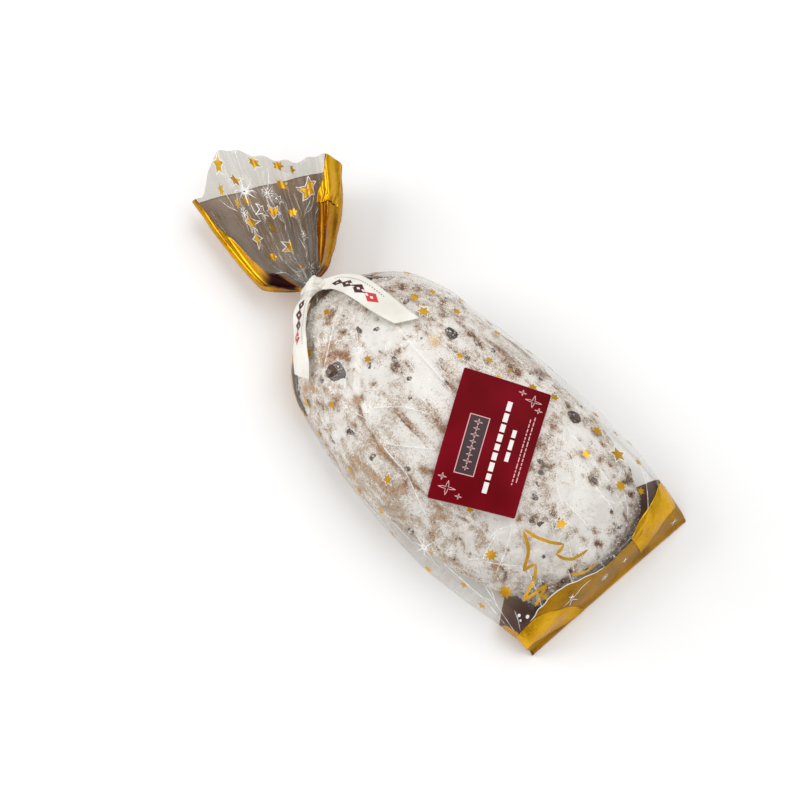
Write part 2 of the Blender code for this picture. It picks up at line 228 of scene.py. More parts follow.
# White prints: row kind, place, share round, radius, kind and turn
WHITE_PRINTS = (
    ("body", 46.2, 0.722, 11.5, "burst", 0.2),
    ("body", -37.3, 0.444, 5.6, "gold_lines", 0.5),
    ("body", 62.0, 0.690, 4.0, "flake", 0.1),
    ("body", 113.0, 0.525, 4.2, "flake", 0.3),
    ("mouth", 0.792, 0.584, 9.6, "burst", 0.5),
    ("mouth", 0.673, 0.628, 5.0, "flake", 0.1),
    ("mouth", 0.503, 0.401, 5.4, "flake", 0.4),
    ("mouth", 0.800, 0.505, 4.4, "flake", 0.2),
    ("mouth", 0.660, 0.559, 6.0, "outline_star", 0.3),
    ("mouth", 0.760, 0.470, 4.4, "outline_star", 0.7),
    ("body", 129.3, 0.292, 4.2, "sparkle", 0.2),
    ("body", 129.1, 0.444, 2.6, "sparkle", 0.5),
    ("body", 128.9, 0.506, 3.4, "flake", 0.2),
    ("body", 126.6, 0.597, 2.6, "sparkle", 0.9),
    ("body", 114.3, 0.705, 1.2, "dot", 0.0),
    ("body", 118.4, 0.695, 1.5, "dot", 0.0),
    ("body", 116.5, 0.712, 0.9, "dot", 0.0),
    ("body", -12.0, 0.300, 5.0, "burst", 0.7),
    ("body", 28.0, 0.270, 3.6, "flake", 0.5),
    ("body", -30.0, 0.790, 3.6, "flake", 0.9),
)
# A small fir tree of one gold line, seen from its foot: x, share round
TREE_LINES = (
    ((84.6, 0.573), (92.0, 0.569), (99.5, 0.559), (105.8, 0.543)),
    ((105.8, 0.543), (106.8, 0.556), (106.9, 0.567)),
    ((106.9, 0.567), (111.0, 0.562), (114.8, 0.545), (116.2, 0.514)),
    ((118.8, 0.572), (121.6, 0.558), (123.2, 0.538), (123.4, 0.512)),
    ((84.9, 0.576), (91.2, 0.587), (96.2, 0.602), (100.6, 0.631)),
    ((100.6, 0.631), (101.6, 0.616), (103.0, 0.606)),
    ((103.0, 0.606), (107.2, 0.624), (109.6, 0.648), (111.2, 0.677)),
    ((111.2, 0.677), (113.2, 0.650), (114.6, 0.618)),
    ((114.6, 0.618), (116.0, 0.640), (118.0, 0.668)),
)

# The gold print over the closed end: where its front edge runs, share round and x
END_PRINT = (
    (0.180, 114.0), (0.260, 114.5), (0.300, 116.5), (0.330, 120.0), (0.370, 124.0),
    (0.417, 125.9), (0.460, 126.6), (0.493, 126.6), (0.523, 126.2), (0.550, 124.6),
    (0.595, 121.8), (0.640, 120.6), (0.673, 120.8), (0.700, 121.5), (0.755, 121.5),
    (0.820, 120.0),
)
# White lines along ridges of the end band: painted highlights, drawn in white ink.
END_RIDGE_GLINTS = (
    ((127.2, 0.624), (127.1, 0.592), (126.5, 0.565), (126.6, 0.540)),
    ((128.4, 0.612), (127.5, 0.600), (128.6, 0.586)),
)
# The two bright corner flaps folded over the closed end: for each, its front edge and its
# back edge as (x, share round) from one end to the other
NEAR_FLAP = (
    ((118.6, 0.765), (119.6, 0.740), (122.3, 0.682), (126.9, 0.636), (130.2, 0.586)),
    ((127.0, 0.765), (128.2, 0.742), (130.1, 0.697), (130.5, 0.640), (130.55, 0.583)),
)
FAR_FLAP = (
    ((110.0, 0.290), (113.7, 0.312), (118.6, 0.350), (121.6, 0.386), (125.0, 0.417)),
    ((112.0, 0.258), (118.5, 0.262), (124.8, 0.275), (128.7, 0.345), (130.0, 0.396)),
)
# The fold at the far hem's rim: the same, with shares of the way from neck to rim
RIM_FOLD = (
    ((1.0, 0.277), (0.93, 0.287), (0.86, 0.299), (0.79, 0.311), (0.72, 0.324)),
    ((1.0, 0.222), (0.92, 0.222), (0.84, 0.224), (0.76, 0.226), (0.69, 0.232)),
)


def smooth_between(where, knots, values):
    """Values of a smooth curve through (knots, values) that doesn't overshoot them."""
    knots = np.asarray(knots, float)
    values = np.asarray(values, float)
    slopes = np.diff(values) / np.diff(knots)
    tangents = np.zeros(len(values))
    for i in range(1, len(values) - 1):
        before, after = slopes[i - 1], slopes[i]
        if before * after > 0:
            tangents[i] = 2 * before * after / (before + after)
    tangents[0], tangents[-1] = slopes[0], slopes[-1]
    i = np.clip(np.searchsorted(knots, where) - 1, 0, len(slopes) - 1)
    step = knots[i + 1] - knots[i]
    t = (where - knots[i]) / step
    return (
        values[i] * (2 * t**3 - 3 * t**2 + 1)
        + tangents[i] * step * (t**3 - 2 * t**2 + t)
        + values[i + 1] * (3 * t**2 - 2 * t**3)
        + tangents[i + 1] * step * (t**3 - t**2)
    )


def point_on(path, share):
    """The point at this share of the way along a list of points, on a smooth curve."""
    path = np.asarray(path, float)
    knots = np.linspace(0, 1, len(path))
    return np.array([smooth_between(share, knots, column) for column in path.T])


def evenly(loop, count):
    """The same closed loop with this many points, evenly spaced along it."""
    closed = np.vstack([loop, loop[:1]])
    length = np.concatenate(
        [[0], np.cumsum(np.linalg.norm(np.diff(closed, axis=0), axis=1))]
    )
    where = np.arange(count) / count * length[-1]
    return np.array([np.interp(where, length, column) for column in closed.T]).T


def signed_power(value, power):
    return np.sign(value) * np.abs(value) ** power


def station_at(x):
    """Half width, centre y, top, underside and squareness of the body's section at x."""
    table = np.array(BODY_STATIONS[::-1])
    return [smooth_between(x, table[:, 0], column) for column in table[:, 1:].T]


def body_loop(x):
    """The film's section round the loaf: a squarish dome, cut flat where it lies down."""
    half, centre, top, under, square = station_at(x)
    angle = np.linspace(0, 2 * math.pi, DENSE_POINTS, endpoint=False) - math.pi / 2
    widest = under + WIDEST_AT * (top - under) + (0.5 - WIDEST_AT) * min(under, 20.0)
    below = widest - under + FLAT_SINK * (under < 0.5)
    y = centre + half * signed_power(np.cos(angle), 2 / square)
    up = signed_power(np.sin(angle), 2 / square)
    z = widest + np.where(up > 0, top - widest, below) * up
    return np.column_stack([np.full_like(y, x), y, np.maximum(z, under)])


def hem_outline(half, radius):
    """A flat tube's section, with round hems: places across and heights, from the back's
    middle round towards the far hem."""
    run = max(half - radius, 0.0)
    cap = np.linspace(0, math.pi, DENSE_POINTS // 12)
    line = np.linspace(0, run, DENSE_POINTS // 5)
    across = (line, run + radius * np.sin(cap), line[::-1])
    height = (line * 0 - radius, -radius * np.cos(cap), line * 0 + radius)
    across, height = np.concatenate(across), np.concatenate(height)
    return (
        np.concatenate([across, -across[::-1]]),
        np.concatenate([height, height[::-1]]),
    )


def mouth_loop(share):
    """The film's section in the fan, this share of the way from the neck to the rim."""
    near = point_on(NEAR_HEM, share)
    far = point_on(FAR_HEM, share)
    half = np.linalg.norm(far - near) / 2
    radius = HEM_RADIUS + (NECK_RADIUS - HEM_RADIUS) * (1 - share) ** 4
    across, height = hem_outline(half, radius)
    side = across / half
    upper = height > -0.3 * radius
    spread = share * (1.6 - 0.6 * share)
    places, rises, reaches = np.array(FRONT_RIM).T
    inside = (1 - side**4) * min(share / 0.25, 1.0)
    wave = np.cos(PLEATS * math.pi * (side + 0.1 * side**2))
    front = spread * smooth_between(side, places, rises) + PLEAT_HEIGHT * inside * wave
    back = -BACK_SAG * spread * (1 - side**2)
    back += 0.8 * inside * np.cos(11 * side + 1)
    reach_front = spread * smooth_between(side, places, reaches)
    reach_back = BACK_REACH * spread * (1 - side**2)
    along = (far - near) / (2 * half)
    outward = np.array([-along[1], along[0], 0.0])
    loop = (near + far) / 2 + across[:, None] * along
    loop += outward * np.where(upper, reach_front, reach_back)[:, None]
    loop[:, 2] += height + np.where(upper, front, back)
    return loop


def film_top(x, y):
    """Height of the film above the table at x, y on the bag's body, without gathers."""
    loop = body_loop(x)
    quarter = len(loop) // 4
    upper = loop[quarter : 3 * quarter + 1]
    return float(np.interp(-y, -upper[:, 1], upper[:, 2]))


def off_film(point, gap):
    """The point, pushed out of the body's film until it is at least this far from it."""
    rings = np.array([body_loop(x)[::6] for x in np.linspace(-121, -30, 70)])
    along = np.gradient(rings, axis=0)
    around = np.roll(rings, -1, axis=1) - np.roll(rings, 1, axis=1)
    outwards = np.cross(around, along)
    outwards /= np.linalg.norm(outwards, axis=2)[:, :, None]
    point = np.array(point, float)
    for _ in range(3):
        apart = np.linalg.norm(rings - point, axis=2)
        nearest = np.unravel_index(np.argmin(apart), apart.shape)
        height = (point - rings[nearest]) @ outwards[nearest]
        point += outwards[nearest] * max(gap - height, 0.0)
    return point



# ---- Sheets, pieces and noise -----------------------------------------------------------


def placed(points):
    """Points of the drawing, in metres about the finished origin."""
    return (np.asarray(points, float) + (SHIFT_X, SHIFT_Y, 0.0)) * MM


def lattice_noise(points, size, seed):
    """Smooth noise from -1 to 1, with features of this size."""
    table = np.random.default_rng(seed).uniform(-1, 1, (32, 32, 32))
    turned = np.asarray(points, float) @ NOISE_TURN
    spot = turned / size + 5.37 * seed
    cell = np.floor(spot).astype(int)
    t = spot - cell
    t = t * t * (3 - 2 * t)
    total = np.zeros(len(spot))
    for corner in np.ndindex(2, 2, 2):
        weight = np.prod(np.where(corner, t, 1 - t), axis=1)
        i, j, k = ((cell + corner) % 32).T
        total += weight * table[i, j, k]
    return total


def ring_noise(v, cells, seed):
    """Smooth noise from -1 to 1 round the bag, the same at 0 and 1."""
    table = np.random.default_rng(seed).uniform(-1, 1, cells)
    spot = np.asarray(v, float) % 1 * cells
    cell = np.floor(spot).astype(int)
    t = spot - cell
    t = t * t * (3 - 2 * t)
    return table[cell % cells] * (1 - t) + table[(cell + 1) % cells] * t


def fade(value, start, end):
    """0 before start, 1 after end and smooth between them; end may be below start."""
    t = np.clip((np.asarray(value, float) - start) / (end - start), 0, 1)
    return t * t * (3 - 2 * t)


def sheet(rows, columns, place, outwards, attributes=None, weld=False):
    """A grid of rows by columns whose corner (row, column) goes to place(row, column),
    with faces that look the way that outwards(centres) points."""
    mesh = bmesh.new()
    bmesh.ops.create_grid(mesh, x_segments=rows - 1, y_segments=columns - 1, size=0.5)
    data = bpy.data.meshes.new("sheet")
    mesh.to_mesh(data)
    mesh.free()
    corners = np.empty(len(data.vertices) * 3)
    data.vertices.foreach_get("co", corners)
    corners = corners.reshape(-1, 3)
    row = np.rint((corners[:, 0] + 0.5) * (rows - 1))
    column = np.rint((corners[:, 1] + 0.5) * (columns - 1))
    where = placed(place(row, column))
    data.vertices.foreach_set("co", where.ravel())
    for name, values in (attributes(row, column) if attributes else {}).items():
        layer = data.attributes.new(name, "FLOAT", "POINT")
        layer.data.foreach_set("value", np.asarray(values, np.float32))
    data.update()
    mesh = bmesh.new()
    mesh.from_mesh(data)
    bpy.data.meshes.remove(data)
    if weld:
        bmesh.ops.remove_doubles(mesh, verts=mesh.verts, dist=2e-6)
    sample = list(mesh.faces)[:: max(1, len(mesh.faces) // 400)]
    centres = np.array([face.calc_center_median() for face in sample])
    ways = np.array([face.normal * face.calc_area() for face in sample])
    if (ways * outwards(centres)).sum() < 0:
        bmesh.ops.reverse_faces(mesh, faces=mesh.faces)
    return mesh


def upwards(centres):
    return np.tile((0.0, 0.0, 1.0), (len(centres), 1))


def from_the_spine(centres):
    """Away from a line along the bag's middle."""
    spine = placed([(0.0, -5.0, 30.0)])[0]
    away = centres - spine
    away[:, 0] = 0
    return away


def piece(name, mesh, materials, replaces=None, sharp=50):
    """Finishes a bmesh as a piece of the object."""
    data = bpy.data.meshes.new(name)
    mesh.to_mesh(data)
    mesh.free()
    for material in materials if isinstance(materials, (list, tuple)) else [materials]:
        data.materials.append(material)
    data.shade_smooth()
    if sharp:
        data.set_sharp_from_angle(angle=math.radians(sharp))
    thing = bpy.data.objects.new(name, data)
    bpy.context.scene.collection.objects.link(thing)
    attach(thing, "root")
    if replaces:
        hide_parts(replaces)
    return thing


def solidify(thing, thickness, offset, rim=0, inner=0):
    wall = thing.modifiers.new("wall", "SOLIDIFY")
    wall.thickness = thickness * MM
    wall.offset = offset
    wall.material_offset = inner
    wall.material_offset_rim = rim


# ---- The film as one surface ------------------------------------------------------------


def film_grid():
    """Rings of film from the closed end to the rim, evenly spaced along the bag, and how
    far each has come: x on the body, the share from neck to rim in the mouth."""
    fine = np.linspace(BODY_STATIONS[0][0], BODY_STATIONS[-1][0], 4000)
    top = station_at(fine)[2]
    length = np.concatenate([[0], np.cumsum(np.hypot(np.diff(fine), np.diff(top)))])
    xs = np.interp(np.linspace(0, length[-1], BODY_ROWS), length, fine)
    shares = np.linspace(0, 1, MOUTH_ROWS)
    rings = [evenly(body_loop(x), AROUND) for x in xs]
    rings += [evenly(mouth_loop(share), AROUND) for share in shares]
    return np.array(rings), xs, shares


def ring_lengths(rings):
    steps = np.roll(rings, -1, axis=1) - rings
    return np.linalg.norm(steps, axis=2).sum(axis=1)


def film_normals(rings):
    along = -np.gradient(rings, axis=0)
    around = np.roll(rings, -2, axis=1) - np.roll(rings, 2, axis=1)
    normals = np.cross(around, along)
    length = np.linalg.norm(normals, axis=2)[:, :, None]
    return normals / np.maximum(length, 1e-9)


def row_of_x(x):
    return np.interp(-np.asarray(x, float), -BODY_X, np.arange(BODY_ROWS))


def row_of_share(share):
    return BODY_ROWS + np.asarray(share, float) * (MOUTH_ROWS - 1)


def loose_creases():
    """Short creases scattered over the film, most of them in the gathered mouth, as
    (row, share round) points and how sharp each is."""
    random = np.random.default_rng(66)
    lines = []
    for k in range(170):
        mouth = k % 5 < 2
        row = random.uniform(302, 424) if mouth else random.uniform(8, 292)
        v = random.uniform(0.36, 0.66) if mouth else random.uniform(0.21, 0.79)
        way = random.normal(0, 0.30 if mouth else 0.75)
        length = random.uniform(4, 16) * (1.7 if mouth else 1.4)
        bend = random.normal(0, 0.8)
        girth = GIRTH[int(row)]
        along, across = length * math.cos(way), length * math.sin(way) / girth
        middle = (row + along / 2, v + across / 2 + bend / girth)
        points = np.array([(row, v), middle, (row + along, v + across)])
        lines.append((points, random.uniform(0.2, 0.75)))
    return lines


def crease_ridges():
    """Sharp creases of the film: how far each point is pushed back between them, and how
    white the film is along their crests, a painted highlight that is partly the film's real stress whitening."""
    shape = (BODY_ROWS + MOUTH_ROWS, AROUND)
    crest, white = np.zeros(shape), np.zeros(shape)
    lines = []
    for line, strength in CREASES:
        line = np.array(line, float)
        lines.append((np.column_stack([row_of_x(line[:, 0]), line[:, 1]]), strength))
    for line, strength in lines + loose_creases():
        rows = line[:, 0]
        girth = float(np.interp(rows.mean(), np.arange(len(GIRTH)), GIRTH))
        step = row_step(rows.mean())
        low = max(0, int(rows.min() - 9 / step))
        high = min(shape[0], int(rows.max() + 9 / step) + 2)
        reach = 9 / girth
        first = max(0, int((line[:, 1].min() - reach) * AROUND))
        last = min(AROUND, int((line[:, 1].max() + reach) * AROUND) + 2)
        px = np.arange(low, high)[:, None] * step
        py = np.arange(first, last)[None, :] / AROUND * girth
        near = np.full((high - low, last - first), 1e9)
        for k in range(len(line) - 1):
            ax, ay = rows[k] * step, line[k, 1] * girth
            dx, dy = rows[k + 1] * step - ax, line[k + 1, 1] * girth - ay
            t = np.clip(((px - ax) * dx + (py - ay) * dy) / (dx * dx + dy * dy), 0, 1)
            ends = 1 - np.clip((k + t) / (len(line) - 1) * 2 - 1, -1, 1) ** 4
            apart = np.hypot(px - ax - t * dx, py - ay - t * dy)
            near = np.minimum(near, apart + 2.5 * (1 - ends))
        window = (slice(low, high), slice(first, last))
        crest[window] = np.maximum(crest[window], strength * np.exp(-near / 2.2))
        line_white_and_glint = strength * np.exp(-((near / 0.5) ** 2))
        white[window] = np.maximum(white[window], line_white_and_glint)
    return crest, white


def hem_ridge(share):
    """Where a fold runs down the middle of the far hem, as a share of the way round."""
    return 0.285 + 0.012 * np.sin(2.2 * share + 0.4) + 0.003 * np.sin(11 * share)


def wrinkles():
    """How far inwards each point of the film lies, and how white its creases are: painted highlights, partly the
    film's real stress whitening.
    """
    rows, columns = np.meshgrid(
        np.arange(BODY_ROWS + MOUTH_ROWS), np.arange(AROUND), indexing="ij"
    )
    v = columns / AROUND
    x = np.concatenate([BODY_X, np.full(MOUTH_ROWS, BODY_X[-1])])[:, None] + 0 * v
    share = np.concatenate([np.zeros(BODY_ROWS), MOUTH_SHARE])[:, None] + 0 * v
    body = rows < BODY_ROWS
    flat = np.minimum(v, 1 - v)
    free = fade(flat, 0.15, 0.21)
    spots = FILM_RINGS.reshape(-1, 3)
    slow = lattice_noise(spots, 34.0, 11).reshape(v.shape)
    middling = lattice_noise(spots, 11.0, 12).reshape(v.shape)
    bend = 0.006 * slow
    press = 0.45 * (1 + slow) + 0.16 * (1 + middling)
    # Gathers that fan out from the tie over the shoulder
    reach = fade(x, -52.0, -112.0)
    folds = np.abs(ring_noise(v + bend, 54, 21)) ** 0.8
    small = np.abs(ring_noise(v + 0.5 * bend, 130, 22))
    press += body * reach * (1.25 * folds + 0.5 * small * reach)
    # Slack folds that run along the bag, strongest at its two ends
    long_folds = np.clip(ring_noise(v + 2.2 * bend, 26, 23) - 0.25, 0, 1)
    press += body * 0.9 * long_folds * (0.35 + 0.65 * fade(np.abs(x + 5), 60, 118))
    # Pleats of the mouth, fine at the neck and wide at the rim
    pleats = np.abs(ring_noise(v + 0.010 * slow, 34, 24)) ** 0.7
    creased = np.abs(ring_noise(v + 0.004 * middling, 96, 25))
    crinkles = lattice_noise(spots, 5.5, 26).reshape(v.shape)
    press += ~body * (1.3 * pleats + 0.8 * creased * fade(share, 0.85, 0.1))
    press += ~body * 0.35 * (1 + crinkles) * free
    groove = np.exp(-(((v - hem_ridge(share)) / 0.007) ** 2))
    press += ~body * 0.9 * groove * fade(share, 0.05, 0.2) * fade(share, 0.78, 0.66)
    crest, white = crease_ridges()
    press = press * (1 - 0.8 * np.clip(crest, 0, 1)) + 0.55 * body
    press -= 0.55 * body * np.clip(crest, 0, 1)
    # Painted highlights along the sharpest folds and pleats and over the gathered neck, partly the film's stress
    # whitening.
    broken = np.clip(0.15 + 1.5 * lattice_noise(spots, 9.0, 31).reshape(v.shape), 0, 1)
    sharp = body * reach * np.exp(-((folds / 0.07) ** 2)) * 0.45 * broken
    sharp += ~body * np.exp(-((pleats / 0.08) ** 2)) * 0.55 * broken
    gathered = fade(share, 0.62, 0.0) * fade(np.abs(v - 0.53), 0.15, 0.02)
    sharp += ~body * gathered * (0.30 + 0.40 * creased)
    white = np.clip(white + sharp * free, 0, 1)
    hems = fade(np.abs(v - 0.27), 0.080, 0.055) + fade(np.abs(v - 0.745), 0.080, 0.055)
    press = np.where(body, press, press * (1 - hems) + np.minimum(press, 1.0) * hems)
    quiet = 0.12 + 0.88 * free
    rim = fade(rows, BODY_ROWS + MOUTH_ROWS - 1, BODY_ROWS + MOUTH_ROWS - 12)
    base = fade(rows, 0, 6)
    press = np.where(body, press * quiet * base, press * (0.25 + 0.75 * rim) * quiet)
    return np.maximum(press, 0.0), white


def film_at(row, v, lift=0.0):
    """Points this far off the wrinkled film, at these rows and shares of the way round."""
    row = np.clip(np.asarray(row, float), 0, len(FILM) - 1.001)
    column = np.asarray(v, float) % 1 * AROUND
    i, j = np.floor(row).astype(int), np.floor(column).astype(int) % AROUND
    s, t = (row - i)[..., None], (column - np.floor(column))[..., None]
    k = (j + 1) % AROUND

    def blend(grid):
        first = grid[i, j] * (1 - t) + grid[i, k] * t
        second = grid[i + 1, j] * (1 - t) + grid[i + 1, k] * t
        return first * (1 - s) + second * s

    lift = np.asarray(lift, float)
    return blend(FILM) + blend(NORMALS) * (lift[..., None] if lift.ndim else lift)


def film_value(grid, row, v):
    """A value kept on the film's own grid, at these rows and shares."""
    i = np.clip(np.rint(row).astype(int), 0, len(grid) - 1)
    j = np.rint(v % 1 * AROUND).astype(int) % AROUND
    return grid[i, j]


def gold_edges(row):
    """Where the gold back ends and the clear front begins: the far and the near seam."""
    x = np.interp(row, np.arange(BODY_ROWS), BODY_X)
    share = np.interp(row - BODY_ROWS, np.arange(MOUTH_ROWS), MOUTH_SHARE)
    place = np.where(row < BODY_ROWS, -x, 200 + 100 * share)
    knots, far, near = np.array(GOLD_SEAMS).T
    return np.interp(place, knots, far), np.interp(place, knots, near)

# ---- Sheets of film ---------------------------------------------------------------------


def film_piece(name, first, last, rows, columns, materials, lift=0.0):
    """The clear front between two rows of the film's grid."""

    def spot(row, column):
        place = first + row / (rows - 1) * (last - first)
        far, near = gold_edges(place)
        return place, far - 0.004 + column / (columns - 1) * (near - far + 0.008)

    def attributes(row, column):
        place, v = spot(row, column)
        # The creases' painted highlights and whitening, weaker over the closed end.
        over_end = fade(np.interp(place, np.arange(BODY_ROWS), BODY_X), 92, 108)
        over_end = over_end * fade(np.abs(v % 1 - 0.5), 0.34, 0.29)
        return {"crease": film_value(CREASE_WHITE_AND_GLINT, place, v) * (1 - 0.75 * over_end)}

    mesh = sheet(
        rows,
        columns,
        lambda row, column: film_at(*spot(row, column), lift),
        from_the_spine,
        attributes,
    )
    return piece(name, mesh, materials, "bag", sharp=None)


def gold_back(materials):
    """The gold back panel with its side hems, gold outside and taupe inside."""
    rows, columns = 250, 170
    last = BODY_ROWS + MOUTH_ROWS - 1

    def spot(row, column):
        place = row / (rows - 1) * last
        far, near = gold_edges(place)
        return place, near - 1 + column / (columns - 1) * (far - near + 1)

    def attributes(row, column):
        place, v = spot(row, column)
        share = np.clip((place - BODY_ROWS) / (MOUTH_ROWS - 1), -0.2, 1)
        # Painted shadow: a dark maroon pocket inside the near hem by the neck, where the fold lies in shade.
        wobble = 0.012 * ring_noise(share * 0.9 + 0.31, 9, 61)
        pocket = fade(np.abs(v % 1 - 0.748 + wobble), 0.050, 0.030)
        pocket = pocket * fade(share, 0.02, 0.07) * fade(share, 0.40, 0.27)
        # Painted shade: darker along the far hem's fold, in streaks near the neck, over the far half of the mouth
        # and across its middle.
        ridge = np.exp(-(((v % 1 - hem_ridge(share)) / 0.006) ** 2))
        deep = ridge * fade(share, 0.06, 0.16) * fade(share, 0.80, 0.70) * 0.9
        streaks = 0.5 + 0.5 * ring_noise(v % 1 + 0.02 * share, 120, 62)
        near_neck = fade(share, 0.36, 0.08) * fade(share, 0.0, 0.02)
        deep = np.maximum(deep, near_neck * (0.35 + 0.65 * streaks))
        dull = 0.42 * (v % 1 < 0.5) * fade(share, 0.0, 0.05)
        deep = np.maximum(deep, dull * (0.75 + 0.25 * streaks))
        middle = fade(np.abs(share - 0.33), 0.10, 0.02) * (v % 1 > 0.5)
        deep = np.maximum(deep, middle * streaks * 0.9)
        # Painted shade in the corners by the closed end, mostly on the taupe inside.
        corner = fade(np.interp(place, np.arange(BODY_ROWS), BODY_X), 90, 108)
        return {"pocket": pocket, "deep": np.clip(deep, 0, 1), "corner": corner}

    mesh = sheet(
        rows,
        columns,
        lambda row, column: film_at(*spot(row, column), 0.0),
        from_the_spine,
        attributes,
    )
    back = piece("gold_back", mesh, materials, "bag", sharp=None)
    solidify(back, 0.22, -1.0, rim=0, inner=1)
    return back


def end_seam(material):
    """The narrow strip of gold film that closes the flat end between back and front."""
    rows, columns = 5, 240

    def place(row, column):
        share, up = column / (columns - 1), row / (rows - 1)
        low = film_at(0 * share, 0.22 - 0.44 * share, 0.0)
        high = film_at(0 * share, 0.22 + 0.56 * share, 0.0)
        spots = low * (1 - up)[..., None] + high * up[..., None]
        spots[..., 0] += 0.25 * np.sin(math.pi * up)
        return spots

    mesh = sheet(rows, columns, place, from_the_spine)
    return piece("end_seam", mesh, material, "bag", sharp=None)


def end_print(material, edge_material):
    """The gold print that rises over the closed end, on the outside of the clear film."""
    rows, columns = 60, 300
    knots, xs = np.array(END_PRINT).T

    def spot(row, column):
        v = 0.186 + column / (columns - 1) * 0.628
        front = row_of_x(np.interp(v, knots, xs)) + 0.8 * ring_noise(v, 60, 71)
        return front * (1 - row / (rows - 1)), v

    # The band is drawn in the darker, painted-shade copy of the gold.
    mesh = sheet(
        rows, columns, lambda row, column: film_at(*spot(row, column), 0.11), from_the_spine
    )
    band = piece("end_print", mesh, material, "bag", sharp=None)
    lines = []
    share = np.linspace(0.500, 0.700, 60)
    edge = row_of_x(np.interp(share, knots, xs)) + 0.8 * ring_noise(share, 60, 71)
    lines.append((np.column_stack([edge + 0.4, share]), 0.75))
    # After the print's own white edge line, painted highlights along the band's ridges in white ink.
    for ridge in END_RIDGE_GLINTS:
        ridge = np.array(ridge)
        lines.append((np.column_stack([row_of_x(ridge[:, 0]), ridge[:, 1]]), 0.6))
    mesh = bmesh.new()
    for line, width in lines:
        stroke(mesh, film_lines(line), width, 0.20)
    piece("end_print_edge_and_glints", mesh, edge_material, "bag", sharp=None)
    return band


def corner_flap(name, edges, material, lift, fold_at, row_of=row_of_x):
    """A corner of the gold film folded over the front, with pleats at its fold."""
    front, back = (np.array(edge, float) for edge in edges)
    rows, columns = 26, 90

    def place(row, column):
        share, down = column / (columns - 1), row / (rows - 1)
        knots = np.linspace(0, 1, len(front))
        top = row_of(np.interp(share, knots, front[:, 0]))
        low = row_of(np.interp(share, np.linspace(0, 1, len(back)), back[:, 0]))
        v_top = np.interp(share, knots, front[:, 1])
        v_low = np.interp(share, np.linspace(0, 1, len(back)), back[:, 1])
        pleat = np.sin(34 * down + 5 * share) * fade(np.abs(share - fold_at), 0.30, 0.0)
        arch = np.sin(math.pi * down) * (0.5 + 0.5 * np.sin(math.pi * share))
        row_at = top * (1 - down) + low * down + 0.5 * np.sin(9 * share + 2)
        v = v_top * (1 - down) + v_low * down
        return film_at(row_at, v, lift + 0.7 * arch + 0.42 * pleat)

    mesh = sheet(rows, columns, place, from_the_spine)
    flap = piece(name, mesh, material, "bag", sharp=None)
    solidify(flap, 0.18, -1.0)
    return flap


# ---- Prints that lie on a surface -------------------------------------------------------


def star_outline(points, radius, inner, turn):
    """A star's outline with points on its long sides too: across and up."""
    corner = np.arange(2 * points)
    reach = np.where(corner % 2 == 0, radius, radius * inner)
    angle = turn + corner * math.pi / points
    spots = np.column_stack([reach * np.cos(angle), reach * np.sin(angle)])
    middles = (spots + np.roll(spots, -1, axis=0)) / 2
    return np.stack([spots, middles], axis=1).reshape(-1, 2)


def fan(mesh, outline, on_surface, lift, hole=None):
    """Fills a star-shaped outline about its centre, in rings that follow the surface; with
    a hole, fills only from that share of the way out."""
    shares = (hole, 1.0) if hole else (0.34, 0.68, 1.0)
    rings = [[mesh.verts.new(p) for p in placed(on_surface(outline * s, lift))] for s in shares]
    for inside, outside in zip(rings[:-1], rings[1:]):
        count = len(inside)
        for k in range(count):
            n = (k + 1) % count
            mesh.faces.new((inside[k], inside[n], outside[n], outside[k]))
    if not hole:
        centre = mesh.verts.new(placed(on_surface(np.zeros((1, 2)), lift))[0])
        first = rings[0]
        for k in range(len(first)):
            mesh.faces.new((centre, first[(k + 1) % len(first)], first[k]))


def stroke(mesh, on_surface_line, width, lift):
    """A line of this width; on_surface_line(share, side, lift) gives its points."""
    on_line, length = on_surface_line
    count = max(4, int(length / 1.1))
    share = np.linspace(0, 1, count)
    taper = 0.25 + 0.75 * np.minimum(1, np.minimum(share, 1 - share) * length / 3.0)
    left = placed(on_line(share, 0.5 * width * taper, lift))
    right = placed(on_line(share, -0.5 * width * taper, lift))
    left = [mesh.verts.new(p) for p in left]
    right = [mesh.verts.new(p) for p in right]
    for k in range(count - 1):
        mesh.faces.new((left[k], left[k + 1], right[k + 1], right[k]))


def film_spot(row, v):
    """Maps across and up, in mm about this spot of the film, onto the film."""
    girth = np.interp(row, np.arange(len(GIRTH)), GIRTH)
    step = row_step(row)

    def on_surface(flat, lift):
        return film_at(row + flat[:, 0] / step, v + flat[:, 1] / girth, lift)

    return on_surface


def row_step(row):
    """Distance between two rings of the film near this row, in mm."""
    return float(np.interp(row, np.arange(len(STEPS)), STEPS))


def film_lines(line):
    """A line on the film through (row, share round) points, as stroke() wants it."""
    line = np.array(line, float)
    girth = float(np.interp(line[:, 0].mean(), np.arange(len(GIRTH)), GIRTH))
    step = row_step(line[:, 0].mean())
    flat = line * (step, girth)
    far_along = np.concatenate([[0], np.cumsum(np.linalg.norm(np.diff(flat, axis=0), axis=1))])
    length = far_along[-1]

    def on_line(share, side, lift):
        place = np.column_stack(
            [smooth_between(share * length, far_along, column) for column in flat.T]
        )
        way = np.gradient(place, axis=0)
        way /= np.maximum(np.linalg.norm(way, axis=1), 1e-9)[:, None]
        place = place + np.column_stack([-way[:, 1], way[:, 0]]) * np.reshape(side, (-1, 1))
        return film_at(place[:, 0] / step, place[:, 1] / girth, lift)

    return on_line, length


